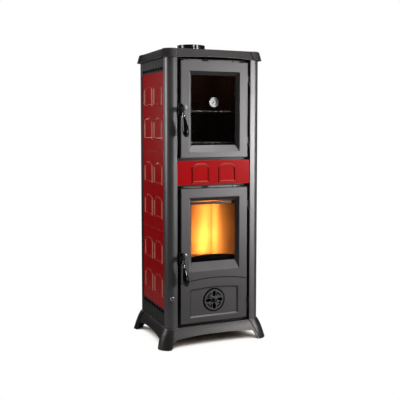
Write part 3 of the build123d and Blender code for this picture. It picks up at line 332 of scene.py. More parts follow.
def grain_group():
    """Sandy skin of a casting or sprayed sheet: fine height and a slow drift of tone."""
    group, enter, leave = new_group(
        "Grain", {"Grain Scale": 900.0, "Drift Scale": 9.0}, ("Height", "Drift"))
    place = object_place(group)
    for scale, detail, result in (("Grain Scale", 3.0, "Height"), ("Drift Scale", 4.0, "Drift")):
        pattern = add_node(group, "ShaderNodeTexNoise", Detail=detail)
        group.links.new(place, pattern.inputs["Vector"])
        group.links.new(enter.outputs[scale], pattern.inputs["Scale"])
        group.links.new(pattern.outputs["Fac"], leave.inputs[result])
    return group


def edge_group():
    """Mask of sharp edges: where the normal rounded over a small radius leaves the flat one."""
    group, enter, leave = new_group("Edges", {"Radius": 0.002}, ("Mask",))
    soft = add_node(group, "ShaderNodeBevel", samples=EDGE_SAMPLES)
    flat = group.nodes.new("ShaderNodeNewGeometry")
    angle = add_node(group, "ShaderNodeVectorMath", operation="DOT_PRODUCT")
    group.links.new(enter.outputs["Radius"], soft.inputs["Radius"])
    group.links.new(soft.outputs["Normal"], angle.inputs[0])
    group.links.new(flat.outputs["True Normal"], angle.inputs[1])
    mask = remap(group, angle.outputs["Value"], EDGE_COSINES, (0.0, 1.0))
    group.links.new(mask, leave.inputs["Mask"])
    return group


def shaded_creases_group():
    """Mask of creases and corners, which the stove paint darkens as painted shade."""
    group, enter, leave = new_group("Cavity", {"Reach": 0.006}, ("Mask",))
    crease = add_node(
        group, "ShaderNodeAmbientOcclusion", samples=CREASE_SAMPLES, only_local=True)
    group.links.new(enter.outputs["Reach"], crease.inputs["Distance"])
    mask = remap(group, crease.outputs["AO"], CREASE_OPENNESS, (1.0, 0.0))
    group.links.new(mask, leave.inputs["Mask"])
    return group


GRAIN = grain_group()
EDGES = edge_group()
SHADED_CREASES = shaded_creases_group()


def place_group(tree, group, **values):
    """One of the shared groups with its own values."""
    made = tree.nodes.new("ShaderNodeGroup")
    made.node_tree = group
    for name, value in values.items():
        made.inputs[name.replace("_", " ")].default_value = value
    return made


def new_material(name, **values):
    """A material with a Principled surface and the given plain values on it."""
    made = bpy.data.materials.new(name)
    made.use_nodes = True
    tree = made.node_tree
    surface = tree.nodes["Principled BSDF"]
    for title, value in values.items():
        surface.inputs[title.replace("_", " ")].default_value = value
    return made, tree, surface


def tone_surface(tree, surface, mask, first, second):
    """Colours the surface between two tones, by a mask."""
    tree.links.new(mix_colours(tree, mask, first, second), surface.inputs["Base Color"])


def vary_roughness(tree, surface, value, levels, span=NOISE_SPAN):
    """Roughness between two levels, following a value over its span."""
    tree.links.new(remap(tree, value, span, levels), surface.inputs["Roughness"])


def bump_surface(tree, surface, height, strength, distance, round_edge=0.0):
    """Feeds a height to the surface normal, over edges rounded by a small radius."""
    bump = add_node(tree, "ShaderNodeBump", Strength=strength, Distance=distance)
    tree.links.new(height, bump.inputs["Height"])
    if round_edge:
        soft = add_node(tree, "ShaderNodeBevel", samples=EDGE_SAMPLES, Radius=round_edge)
        tree.links.new(soft.outputs["Normal"], bump.inputs["Normal"])
    tree.links.new(bump.outputs["Normal"], surface.inputs["Normal"])


# Masks of what is rubbed bright or painted out on the doors and the rosette
def window_highlight(tree):
    """Painted highlight on the front of the window's slope on the handle side."""
    across, depth, rise = split_axes(tree, object_place(tree))
    lean = split_axes(tree, object_normal(tree))[X_AXIS]
    mask = remap(tree, depth, HIGHLIGHT_DEPTH, (1.0, 0.0))
    for share in (
            combine(tree, "GREATER_THAN", lean, HIGHLIGHT_LEAN),
            combine(tree, "GREATER_THAN", rise, ARCH_PEAK),
            combine(tree, "LESS_THAN", across, 0.0)):
        mask = combine(tree, "MULTIPLY", mask, share)
    return mask


def reach_on_door(tree, middle_rise):
    """Distance on the door's face from a height on its centre line."""
    across, _, rise = split_axes(tree, object_place(tree))
    off = tree.nodes.new("ShaderNodeCombineXYZ")
    tree.links.new(across, off.inputs["X"])
    tree.links.new(combine(tree, "SUBTRACT", rise, middle_rise), off.inputs["Z"])
    return vector_length(tree, off.outputs["Vector"])


def hinge_ears(tree):
    """The hinge ears, outside the leaf on the right, painted black as shade in the gap."""
    across = split_axes(tree, object_place(tree))[X_AXIS]
    return combine(tree, "GREATER_THAN", across, LEAF_EDGE)


def fire_door_shade(tree):
    """Painted shade: the hinge ears, the pocket's ring around the air rosette, and a painted shadow
    under the arched step.
    """
    ears = hinge_ears(tree)
    ring = combine(tree, "LESS_THAN", reach_on_door(tree, ROSETTE_RISE), POCKET_RADIUS)
    # Painted shadow: a dark band just under the edge of the arched step
    sweep = reach_on_door(tree, ARCH_PEAK - ARCH_RADIUS)
    below = absolute(tree, combine(tree, "SUBTRACT", sweep, ARCH_RADIUS - STEP_SHADOW_DROP))
    step = remap(tree, below, STEP_SHADOW_EDGE, (STEP_SHADOW_SHARE, 0.0))
    return combine(tree, "MAXIMUM", combine(tree, "MAXIMUM", ring, ears), step)


def rosette_shade(tree):
    """Painted shade in black on the sunk hooks, edge and back of the air rosette: all that lies
    behind its front face.
    """
    depth = split_axes(tree, object_place(tree))[Y_AXIS]
    return combine(tree, "GREATER_THAN", depth, ROSETTE_LOW[Y_AXIS] + FACE_SKIN)


# Finishes, one for each material slot of the record, and those of single pieces
def cast_paint(
        name, low, high, edge_wear_and_highlight, rough=(0.42, 0.5), edge=(0.0016, 0.4), painted_shade=None, highlight_grey=None):
    """Satin graphite stove paint over a fine-sand casting, between two tones, lighter on the edges
    where it is thin and as painted highlight, and darkened in the creases as painted shade.

    edge is the width and strength of that lightening on the edges. The shade mask, made in the
    material's tree, marks what is painted black as shade and shadow. The highlight grey is the
    level of grey of the painted highlight on the handle side of a door window's slope.
    """
    made, tree, surface = new_material(name, Metallic=0.8)
    grain = place_group(tree, GRAIN, Grain_Scale=800.0, Drift_Scale=7.0)
    edges = place_group(tree, EDGES, Radius=edge[0])
    crease = place_group(tree, SHADED_CREASES, Reach=CREASE_REACH)
    colour = mix_colours(tree, grain.outputs["Drift"], low, high)
    # Edges lighter, part thin paint and part painted highlight
    thin = combine(tree, "MULTIPLY", edges.outputs["Mask"], edge[1])
    colour = mix_colours(tree, thin, colour, edge_wear_and_highlight)
    # Painted shade: the creases darkened toward near black
    soot = combine(tree, "MULTIPLY", crease.outputs["Mask"], CREASE_SHADE_SHARE)
    colour = mix_colours(tree, soot, colour, CREASE_SHADE_TONE)
    # Painted highlight on the handle side of a door window's slope
    if highlight_grey:
        colour = mix_colours(tree, window_highlight(tree), colour, (highlight_grey, highlight_grey, highlight_grey))
    # Painted shade: black where the given mask marks gaps, recesses and the shadow under a step
    if painted_shade:
        colour = mix_colours(tree, painted_shade(tree), colour, PAINTED_SHADE_BLACK)
    tree.links.new(colour, surface.inputs["Base Color"])
    vary_roughness(tree, surface, grain.outputs["Height"], rough)
    bump_surface(
        tree, surface, grain.outputs["Height"], strength=0.2, distance=0.0004, round_edge=0.0012)
    return made


def cast_charcoal(name="cast_charcoal", painted_shade=None, highlight_grey=None):
    """Charcoal grey of the doors and the air rosette."""
    return cast_paint(
        name, low=(0.163, 0.156, 0.158), high=(0.203, 0.195, 0.199), edge_wear_and_highlight=(0.3, 0.295, 0.3),
        painted_shade=painted_shade, highlight_grey=highlight_grey)


def column_charcoal():
    """The same charcoal over the drawn columns, smoother than the sand castings."""
    return cast_paint(
        "column_charcoal", low=(0.23, 0.221, 0.224), high=(0.274, 0.264, 0.269),
        edge_wear_and_highlight=(0.3, 0.295, 0.3), rough=(0.39, 0.45))


def cast_black(name, level, rough):
    """Darker paint of the base and the top plate, about a level, with pale edges that are part wear
    and part painted highlight.
    """
    low, high = (
        tuple(level * share * tint for tint in (1.0, 0.95, 0.935)) for share in (0.86, 1.14))
    return cast_paint(name, low, high, edge_wear_and_highlight=(0.4, 0.385, 0.375), rough=rough, edge=(0.003, 0.8))


def sheet_charcoal():
    """Charcoal paint sprayed on folded sheet, a little darker and smoother than the castings."""
    made, tree, surface = new_material("sheet_charcoal", Metallic=0.2)
    grain = place_group(tree, GRAIN, Grain_Scale=420.0, Drift_Scale=5.0)
    drift = grain.outputs["Drift"]
    tone_surface(tree, surface, drift, (0.034, 0.032, 0.031), (0.046, 0.043, 0.042))
    vary_roughness(tree, surface, drift, (0.4, 0.52))
    bump_surface(tree, surface, grain.outputs["Height"], strength=0.15, distance=0.0003)
    return made


def black_steel():
    """Semi-gloss black on steel."""
    made, tree, surface = new_material("black_steel", Metallic=0.1)
    grain = place_group(tree, GRAIN, Grain_Scale=600.0, Drift_Scale=14.0)
    drift = grain.outputs["Drift"]
    tone_surface(tree, surface, drift, (0.008, 0.008, 0.009), (0.02, 0.02, 0.021))
    vary_roughness(tree, surface, drift, (0.25, 0.38))
    bump_surface(
        tree, surface, grain.outputs["Height"], strength=0.1, distance=0.0003, round_edge=0.001)
    return made


def red_glaze(name, level, across, wall_painted_light, slope_highlight):
    """Deep red gloss glaze, paler over rims, part thin glaze and part painted highlight, and paler
    over the sloping bead walls as painted highlight.

    The given tone of the upright walls of the beads, whose normals lean along the axis across, is
    painted light: a painted highlight on the side tiles and painted shade on the front tile. The
    slope highlight is how much paler the painted highlight makes their sloping and level walls.
    """
    made, tree, surface = new_material(
        name, Coat_Weight=0.1, Coat_Roughness=0.05, Specular_IOR_Level=0.16)
    edges = place_group(tree, EDGES, Radius=0.0028)
    pool = noise(tree, scale=16.0, detail=3.0)
    specks = noise(tree, scale=700.0, detail=1.0)
    normal = split_axes(tree, object_normal(tree))
    thin = combine(tree, "MULTIPLY", edges.outputs["Mask"], 0.4)
    slope = remap(tree, absolute(tree, normal[Z_AXIS]), (0.3, 0.6), (0.0, slope_highlight))
    upright = remap(tree, absolute(tree, normal[across]), (0.3, 0.55), (0.0, 1.0))
    colour = mix_colours(tree, pool, (level, 0.007, 0.01), (level + 0.08, 0.012, 0.015))
    # Rims paler, part thin glaze and part painted highlight; bead walls given painted light
    colour = mix_colours(tree, thin, colour, (0.85, 0.2, 0.15))
    colour = mix_colours(tree, slope, colour, (0.9, 0.22, 0.17))
    tone_surface(tree, surface, upright, colour, wall_painted_light)
    vary_roughness(tree, surface, specks, (0.14, 0.24), span=(0.35, 0.7))
    bump_surface(tree, surface, pool, strength=0.1, distance=0.003, round_edge=0.002)
    return made


def fire_clay():
    """Pressed fire board, stained brown by heat and black by soot toward the top."""
    made, tree, surface = new_material("fire_clay", Roughness=0.9)
    stain = noise(tree, scale=11.0, detail=5.0)
    pores = noise(tree, scale=260.0, detail=3.0)
    rise = split_axes(tree, object_place(tree))[Z_AXIS]
    higher = remap(tree, rise, BOARD_SOOT_RISE, (0.0, BOARD_SOOT_SHARE))
    soot = combine(tree, "MULTIPLY", higher, remap(tree, stain, (0.3, 0.6), (0.5, 1.0)))
    board = mix_colours(tree, stain, (0.2, 0.1, 0.06), (0.42, 0.26, 0.16))
    tone_surface(tree, surface, soot, board, (0.03, 0.022, 0.018))
    bump_surface(tree, surface, pores, strength=0.5, distance=0.001)
    return made


def raw_iron():
    """Raw cast iron with a pale dusting of ash."""
    made, tree, surface = new_material("raw_iron", Metallic=0.3, Roughness=0.7)
    grain = place_group(tree, GRAIN, Grain_Scale=500.0, Drift_Scale=30.0)
    dust = remap(tree, grain.outputs["Drift"], (0.5, 0.72), (0.0, 0.6))
    tone_surface(tree, surface, dust, (0.045, 0.04, 0.037), (0.28, 0.26, 0.24))
    bump_surface(tree, surface, grain.outputs["Height"], strength=0.5, distance=0.0008)
    return made


def oven_enamel():
    """Dark brown vitreous enamel with a fine fleck."""
    made, tree, surface = new_material("oven_enamel", Coat_Weight=0.3)
    fleck = add_node(tree, "ShaderNodeTexVoronoi", Scale=420.0)
    tree.links.new(object_place(tree), fleck.inputs["Vector"])
    share = remap(tree, fleck.outputs["Distance"], (0.05, 0.16), (0.5, 0.0))
    drift = noise(tree, scale=12.0)
    tone_surface(tree, surface, share, (0.012, 0.006, 0.004), (0.05, 0.035, 0.028))
    vary_roughness(tree, surface, drift, (0.22, 0.36))
    bump_surface(tree, surface, drift, strength=0.06, distance=0.002)
    return made


def drawing_lines(tree):
    """Fine lines along a drawn steel bar."""
    return noise(tree, scale=60.0, detail=3.0, stretch=(1.0, 40.0, 40.0))


def bright_steel():
    """Plain bright steel with fine drawing lines along the part."""
    made, tree, surface = new_material("bright_steel", Metallic=1.0)
    lines = drawing_lines(tree)
    tone_surface(tree, surface, lines, (0.42, 0.42, 0.43), (0.6, 0.6, 0.6))
    vary_roughness(tree, surface, lines, (0.24, 0.38))
    bump_surface(tree, surface, lines, strength=0.08, distance=0.0002)
    return made


def rail_steel():
    """Heat-dulled steel of the air rails, painted dark in stretches along their length as shadow.
    """
    made, tree, surface = new_material("rail_steel", Metallic=1.0)
    across = split_axes(tree, object_place(tree))[X_AXIS]
    lines = drawing_lines(tree)
    colour = mix_colours(tree, lines, (0.13, 0.13, 0.13), (0.2, 0.2, 0.2))
    # Painted shadow: each stretch darkened toward near black
    for middle, half in RAIL_SHADOWS:
        off = absolute(tree, combine(tree, "SUBTRACT", across, middle))
        rail_shadow = remap(tree, off, (half * RAIL_SHADOW_FADE, half), (RAIL_SHADOW_SHARE, 0.0))
        colour = mix_colours(tree, rail_shadow, colour, (0.008, 0.008, 0.008))
    tree.links.new(colour, surface.inputs["Base Color"])
    vary_roughness(tree, surface, lines, (0.3, 0.45))
    return made


def chrome():
    """Polished chrome with faint handling haze."""
    made, tree, surface = new_material("chrome", Metallic=1.0)
    haze = noise(tree, scale=90.0, detail=4.0)
    tone_surface(tree, surface, haze, (0.62, 0.62, 0.64), (0.8, 0.8, 0.81))
    vary_roughness(tree, surface, haze, (0.07, 0.16))
    bump_surface(tree, surface, haze, strength=0.02, distance=0.0005, round_edge=0.0008)
    return made


def lever_finish(name, hub):
    """Handle lever: hub at a height painted black, the arm below it left in bare chrome."""
    made, tree, surface = new_material(name)
    rise = split_axes(tree, object_place(tree))[Z_AXIS]
    paint_end = hub - HUB_PAINT
    bare = remap(tree, rise, (paint_end, paint_end - HUB_FADE), (0.0, 1.0))
    haze = noise(tree, scale=90.0, detail=4.0)
    tone_surface(tree, surface, bare, (0.008, 0.008, 0.009), (0.45, 0.45, 0.46))
    tree.links.new(bare, surface.inputs["Metallic"])
    vary_roughness(tree, surface, haze, (0.12, 0.2))
    bump_surface(tree, surface, haze, strength=0.02, distance=0.0005, round_edge=0.0008)
    return made


def black_gloss():
    """Polished black heat-proof resin."""
    made, tree, surface = new_material("black_gloss", Coat_Weight=0.6, Coat_Roughness=0.03)
    haze = noise(tree, scale=120.0, detail=3.0)
    tone_surface(tree, surface, haze, (0.003, 0.003, 0.003), (0.007, 0.007, 0.007))
    vary_roughness(tree, surface, haze, (0.08, 0.15))
    bump_surface(tree, surface, haze, strength=0.02, distance=0.0005)
    return made


def collar_enamel():
    """Glossy black enamel of the flue collar, faintly rippled."""
    made, tree, surface = new_material("collar_enamel", Coat_Weight=1.0, Coat_Roughness=0.08)
    ripple = noise(tree, scale=30.0, detail=3.0)
    tone_surface(tree, surface, ripple, (0.008, 0.008, 0.008), (0.016, 0.016, 0.016))
    vary_roughness(tree, surface, ripple, (0.2, 0.3))
    bump_surface(tree, surface, ripple, strength=0.05, distance=0.001, round_edge=0.001)
    return made


def clear_glass(name, alpha):
    """Clear ceramic glass with a faint smoky tint and a trace of soot haze."""
    made, tree, surface = new_material(
        name, Transmission_Weight=1.0, IOR=1.45, Roughness=0.0, Alpha=alpha,
        Specular_IOR_Level=0.04)
    haze = noise(tree, scale=7.0, detail=4.0)
    tone_surface(tree, surface, haze, (0.82, 0.8, 0.77), (0.95, 0.94, 0.92))
    return made


def seal_rope():
    """Braided glass-fibre rope: two crossing sets of strands."""
    made, tree, surface = new_material("seal_rope", Roughness=0.85, Sheen_Weight=0.2)
    heights = []
    for lean in (45, -45):
        turn = add_node(tree, "ShaderNodeMapping", Rotation=(0, radians(lean), 0))
        tree.links.new(object_place(tree), turn.inputs["Vector"])
        strands = add_node(tree, "ShaderNodeTexWave", Scale=90.0, bands_direction="X")
        tree.links.new(turn.outputs["Vector"], strands.inputs["Vector"])
        heights.append(strands.outputs["Fac"])
    weave = combine(tree, "MAXIMUM", *heights)
    tone_surface(tree, surface, weave, (0.11, 0.11, 0.115), (0.4, 0.4, 0.4))
    bump_surface(tree, surface, weave, strength=0.6, distance=0.001)
    return made


def flat_paint(name, rough, scale, first, second, detail=2.0):
    """Thin flat paint or ink between two tones that drift slowly."""
    made, tree, surface = new_material(name, Roughness=rough)
    tone_surface(tree, surface, noise(tree, scale, detail), first, second)
    return made


def dial_white():
    """White enamel dial face, very slightly uneven."""
    return flat_paint(
        "dial_white", rough=0.35, scale=80.0, detail=3.0,
        first=(0.93, 0.93, 0.92), second=(0.98, 0.98, 0.97))


def dial_ink():
    """Grey ink of the dial's print."""
    return flat_paint(
        "dial_ink", rough=0.6, scale=300.0, first=(0.1, 0.1, 0.1), second=(0.15, 0.15, 0.15))


def needle_black():
    """Matt black paint on the thin pointer."""
    return flat_paint(
        "needle_black", rough=0.5, scale=300.0,
        first=(0.012, 0.012, 0.012), second=(0.03, 0.03, 0.03))


FINISHES = {
    "cast_charcoal": cast_charcoal(),
    "cast_black": cast_black("cast_black", level=0.12, rough=(0.35, 0.41)),
    "sheet_charcoal": sheet_charcoal(),
    "black_steel": black_steel(),
    # Side tiles: the upright bead walls painted pale as highlight
    "red_glaze": red_glaze(
        "red_glaze", level=0.55, across=Y_AXIS, wall_painted_light=(0.97, 0.45, 0.35), slope_highlight=0.12),
    "fire_clay": fire_clay(),
    "raw_iron": raw_iron(),
    "oven_enamel": oven_enamel(),
    "bright_steel": bright_steel(),
    "chrome": chrome(),
    "black_gloss": black_gloss(),
    "clear_glass": clear_glass("clear_glass", alpha=1.0),
    "seal_rope": seal_rope(),
    "dial_white": dial_white(),
    "needle_black": needle_black(),
}

COLUMN_PAINT = column_charcoal()

OWN_FINISHES = {
    # Doors and rosette: black painted shade in gaps and recesses; painted highlight on window
    # slopes
    "oven_door": cast_charcoal("cast_charcoal_oven_door", hinge_ears, highlight_grey=0.95),
    "fire_door": cast_charcoal("cast_charcoal_fire_door", fire_door_shade, highlight_grey=0.5),
    "rosette": cast_charcoal("cast_charcoal_rosette", rosette_shade),
    "left_column": COLUMN_PAINT,
    "right_column": COLUMN_PAINT,
    "top_plate": cast_black("cast_black_plate", level=0.074, rough=(0.56, 0.64)),
    # Front tile: glaze painted lighter for the light it catches; upright bead walls painted dark as
    # shade
    "front_tile": red_glaze(
        "red_glaze_front", level=0.64, across=X_AXIS, wall_painted_light=(0.1, 0.002, 0.003), slope_highlight=0.5),
    "flue_collar": collar_enamel(),
    "air_rails": rail_steel(),
    "thermometer_lens": clear_glass("lens_glass", alpha=0.04),
    "rosette_knob": FINISHES["black_gloss"],
}
for door in DOORS:
    lever = door + "_handle_lever"
    hub_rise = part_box(lever)[1][Z_AXIS] - HUB_RADIUS
    OWN_FINISHES[lever] = lever_finish(door + "_lever", hub_rise)
    OWN_FINISHES[door + "_handle_bracket"] = FINISHES["black_gloss"]

for row in frame["record"]["subparts"]:
    piece = frame["nodes"][row["node"]]
    piece.data.materials.clear()
    piece.data.materials.append(OWN_FINISHES.get(row["node"], FINISHES[row["material_slot"]]))


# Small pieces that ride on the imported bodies
def pick(made):
    """Selects one object alone and makes it the active one."""
    bpy.ops.object.select_all(action="DESELECT")
    made.select_set(True)
    bpy.context.view_layer.objects.active = made


def begin_shape():
    """Opens the active mesh for shaping, with all of it selected."""
    bpy.ops.object.mode_set(mode="EDIT")
    bpy.ops.mesh.select_all(action="SELECT")


def end_shape():
    """Turns the faces of the shaped mesh outwards and closes it."""
    bpy.ops.mesh.select_all(action="SELECT")
    bpy.ops.mesh.normals_make_consistent(inside=False)
    bpy.ops.object.mode_set(mode="OBJECT")


def middle_of(low, high):
    """Middle of a box between two corners."""
    return [(first + last) / 2 for first, last in zip(low, high)]


def turned(name, profile, segments=40):
    """Closed round piece about Z: a disc drawn up by rings through pairs of radius and height."""
    bpy.ops.object.select_all(action="DESELECT")
    bpy.ops.mesh.primitive_circle_add(
        vertices=segments, radius=profile[0][0], location=(0, 0, 0), fill_type="NGON")
    made = bpy.context.active_object
    made.name = name
    begin_shape()
    for (radius, rise), (next_radius, next_rise) in zip(profile, profile[1:]):
        bpy.ops.mesh.extrude_region_move(
            TRANSFORM_OT_translate={"value": (0, 0, next_rise - rise)})
        share = next_radius / radius
        bpy.ops.transform.resize(value=(share, share, 1), center_override=(0, 0, next_rise))
    end_shape()
    return made


def cut_slot(made, length, width, top, depth, angle):
    """Cuts a straight slot across the top of a piece, at an angle about Z."""
    bpy.ops.object.select_all(action="DESELECT")
    bpy.ops.mesh.primitive_cube_add(size=1, location=(0, 0, 0))
    tool = bpy.context.active_object
    begin_shape()
    bpy.ops.transform.resize(value=(length, width, 2 * depth), center_override=(0, 0, 0))
    bpy.ops.transform.rotate(value=radians(angle), orient_axis="Z", center_override=(0, 0, 0))
    bpy.ops.transform.translate(value=(0, 0, top))
    bpy.ops.object.mode_set(mode="OBJECT")
    cut = made.modifiers.new("slot", "BOOLEAN")
    cut.operation = "DIFFERENCE"
    cut.object = tool
    pick(made)
    bpy.ops.object.modifier_apply(modifier=cut.name)
    bpy.data.objects.remove(tool)


def set_place(made, place, turn=(0, 0, 0)):
    """Turns a piece about the origin, moves it to its place and applies both."""
    made.rotation_euler = [radians(angle) for angle in turn]
    made.location = place
    pick(made)
    bpy.ops.object.transform_apply(location=True, rotation=True, scale=True)
    bpy.ops.object.shade_smooth_by_angle(angle=radians(SMOOTH_ANGLE))


def copy_piece(made, name):
    """A copy of a piece with its own mesh."""
    pick(made)
    bpy.ops.object.duplicate(linked=False)
    bpy.context.active_object.name = name
    return bpy.context.active_object


def join_pieces(pieces):
    """Several pieces joined into the first."""
    bpy.ops.object.select_all(action="DESELECT")
    for piece in pieces:
        piece.select_set(True)
    bpy.context.view_layer.objects.active = pieces[0]
    bpy.ops.object.join()
    return pieces[0]


def mount(made, body, slot, finish=None):
    """Lets a piece ride on a body under a slot, in the slot's finish or one of its own."""
    made.data.materials.clear()
    made.data.materials.append(finish or FINISHES[slot])
    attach(made, body)


def solids_in(node):
    """Lowest and highest corner of each separate solid of a CAD node."""
    piece = frame["nodes"][node]
    points = [piece.matrix_world @ vertex.co for vertex in piece.data.vertices]
    keys = [tuple(round(value / CORNER_GRID) for value in point) for point in points]
    joined = {key: key for key in keys}

    def root(key):
        while joined[key] != key:
            key = joined[key]
        return key

    for face in piece.data.polygons:
        for corner in face.vertices[1:]:
            joined[root(keys[corner])] = root(keys[face.vertices[0]])
    groups = {}
    for key, point in zip(keys, points):
        groups.setdefault(root(key), []).append(point)
    return [
        tuple(tuple(limit(point[axis] for point in group) for axis in range(3))
              for limit in (min, max))
        for group in groups.values()]


def handle_trim(door):
    """Satin pivot cap on the bracket's ear, and a chrome collar where the grip meets the lever."""
    bracket_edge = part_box(door + "_handle_bracket")[1][X_AXIS]
    door_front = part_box(door + "_door")[0][Y_AXIS]
    lever_low, lever_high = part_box(door + "_handle_lever")
    grip_low, grip_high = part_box(door + "_handle_grip")
    hub = lever_high[Z_AXIS] - HUB_RADIUS
    cap = turned(door + "_pivot_cap", CAP_PROFILE)
    ear = (bracket_edge - EAR_RADIUS, door_front - EAR_FRONT, hub + EAR_RISE)
    set_place(cap, ear, (90, 0, 0))
    mount(cap, door + "_door", "bright_steel")
    ring = turned(door + "_grip_collar", COLLAR_PROFILE)
    across = middle_of(lever_low, lever_high)[X_AXIS]
    depth = middle_of(grip_low, grip_high)[Y_AXIS]
    set_place(ring, (across, depth, grip_high[Z_AXIS] - GRIP_TILT), (0, -GRIP_LEAN, 0))
    mount(ring, door + "_handle", "chrome")


def cross_screws(name, node, axis, head):
    """Cross-slotted pan heads in place of a node's plain screws, facing out along an axis."""
    solids = solids_in(node)
    low, high = solids[0]
    radius = (high[X_AXIS] - low[X_AXIS]) / 2
    profile = [(radius * across, head * rise) for across, rise in SCREW_PROFILE]
    pattern = turned(name, profile, SCREW_SEGMENTS)
    for angle in SCREW_SLOT_ANGLES:
        cut_slot(
            pattern, radius * SCREW_SLOT_LENGTH, radius * SCREW_SLOT_WIDTH, head,
            head * SCREW_SLOT_DEPTH, angle)
    heads = []
    for low, high in solids:
        place = middle_of(low, high)
        place[axis] = high[axis] - head
        heads.append(copy_piece(pattern, name))
        set_place(heads[-1], place, (-90, 0, 0) if axis == Y_AXIS else (0, 0, 0))
    bpy.data.objects.remove(pattern)
    whole = join_pieces(heads)
    whole.name = name
    mount(whole, "stove_body", "bright_steel")
    return whole


def start_plane():
    """A unit plane at the origin, open for shaping."""
    bpy.ops.object.select_all(action="DESELECT")
    bpy.ops.mesh.primitive_plane_add(size=1, location=(0, 0, 0))
    begin_shape()
    return bpy.context.active_object


def dial_ticks(radius):
    """Raised ticks over the pointer's sweep, on a dial of a radius."""
    ticks = start_plane()
    bpy.ops.transform.resize(
        value=(radius * TICK_LENGTH, radius * TICK_WIDTH, 1), center_override=(0, 0, 0))
    bpy.ops.transform.translate(value=(-radius * TICK_RING, 0, 0))
    bpy.ops.mesh.extrude_region_move(TRANSFORM_OT_translate={"value": (0, 0, MARK_RISE)})
    bpy.ops.mesh.select_all(action="SELECT")
    bpy.ops.mesh.spin(
        steps=DIAL_STEPS, dupli=True, angle=radians(-DIAL_SWEEP), center=(0, 0, 0),
        axis=(0, 0, 1))
    end_shape()
    return ticks


def dial_band(radius):
    """Curved band over the working range, on a dial of a radius."""
    band = start_plane()
    bpy.ops.transform.rotate(value=radians(90), orient_axis="X", center_override=(0, 0, 0))
    bpy.ops.transform.resize(
        value=(radius * BAND_WIDTH, 1, BAND_RISE), center_override=(0, 0, 0))
    bpy.ops.transform.translate(value=(radius * BAND_RING, 0, BAND_RISE / 2))
    bpy.ops.transform.rotate(
        value=radians(BAND_START), orient_axis="Z", center_override=(0, 0, 0))
    bpy.ops.mesh.spin(
        steps=BAND_SEGMENTS, angle=radians(BAND_SWEEP), center=(0, 0, 0), axis=(0, 0, 1))
    end_shape()
    return band


def dial_numbers(radius):
    """Plain numbers inside the ticks, on a dial of a radius."""
    numbers = []
    for step in range(0, DIAL_STEPS + 1, STEPS_PER_NUMBER):
        turn = radians(180 - step * DIAL_SWEEP / DIAL_STEPS)
        ring = radius * NUMBER_RING
        bpy.ops.object.select_all(action="DESELECT")
        bpy.ops.object.text_add(location=(0, 0, 0))
        number = bpy.context.active_object
        number.data.body = str(step * DEGREES_PER_STEP)
        number.data.size = radius * NUMBER_SIZE
        number.data.align_x = "CENTER"
        number.data.align_y = "CENTER"
        number.data.extrude = MARK_RISE / 2
        bpy.ops.object.convert(target="MESH")
        set_place(number, (ring * cos(turn), ring * sin(turn), MARK_RISE / 2))
        numbers.append(number)
    return numbers


def dial_marks():
    """Printed scale of the thermometer: ticks, plain numbers and a band over the working range."""
    low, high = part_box("thermometer_dial")
    radius = (high[Z_AXIS] - low[Z_AXIS]) / 2
    whole = join_pieces([dial_ticks(radius), dial_band(radius), *dial_numbers(radius)])
    whole.name = "dial_marks"
    place = middle_of(low, high)
    place[Y_AXIS] = low[Y_AXIS]
    set_place(whole, place, (90, 0, 0))
    mount(whole, "oven_door", "needle_black", dial_ink())


def knob_screw():
    """Slotted screw in the middle of the air rosette's knob."""
    low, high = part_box("rosette_knob")
    screw = turned("knob_screw", KNOB_SCREW_PROFILE, SCREW_SEGMENTS)
    top = KNOB_SCREW_PROFILE[-1][1]
    cut_slot(screw, KNOB_SLOT_LENGTH, KNOB_SLOT_WIDTH, top, KNOB_SLOT_DEPTH, KNOB_SLOT_ANGLE)
    place = middle_of(low, high)
    place[Y_AXIS] = low[Y_AXIS] + KNOB_SCREW_SINK
    set_place(screw, place, (90, 0, 0))
    mount(screw, "air_rosette", "bright_steel")


for door in DOORS:
    handle_trim(door)
back_screws = cross_screws(
    "back_panel_cross_screws", "back_panel_screws", Y_AXIS, BACK_SCREW_HEAD)
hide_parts("back_panel_screws")
collar_screws = cross_screws("collar_cross_screws", "collar_screws", Z_AXIS, COLLAR_SCREW_HEAD)
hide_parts("collar_screws")
dial_marks()
knob_screw()


# Studio: white surround, pale floor, soft boxes and the warm glow in the firebox
def white_surround():
    """World: white to the camera; reflections show a pale ceiling over a dim set."""
    world = bpy.data.worlds.new("surround")
    bpy.context.scene.world = world
    world.use_nodes = True
    tree = world.node_tree
    tree.nodes.clear()
    leave = tree.nodes.new("ShaderNodeOutputWorld")
    path = tree.nodes.new("ShaderNodeLightPath")
    ray = split_axes(tree, tree.nodes.new("ShaderNodeTexCoord").outputs["Generated"])
    soft, ceiling, sweep, white = (
        add_node(tree, "ShaderNodeBackground", Color=(1, 1, 1, 1), Strength=level)
        for level in (AMBIENT, CEILING_LEVEL, WHITE, WHITE))
    above = remap(tree, ray[Z_AXIS], CEILING_EDGE, (SET_DIM, CEILING_LEVEL))
    behind = remap(tree, ray[Y_AXIS], SWEEP_EDGE, (SET_DIM, WHITE))
    tree.links.new(above, ceiling.inputs["Strength"])
    tree.links.new(behind, sweep.inputs["Strength"])
    shown = soft.outputs["Background"]
    for ray_kind, seen in (("Glossy", ceiling), ("Transmission", sweep), ("Camera", white)):
        is_kind = path.outputs["Is %s Ray" % ray_kind]
        shown = mix_shaders(tree, is_kind, shown, seen.outputs["Background"])
    tree.links.new(shown, leave.inputs["Surface"])


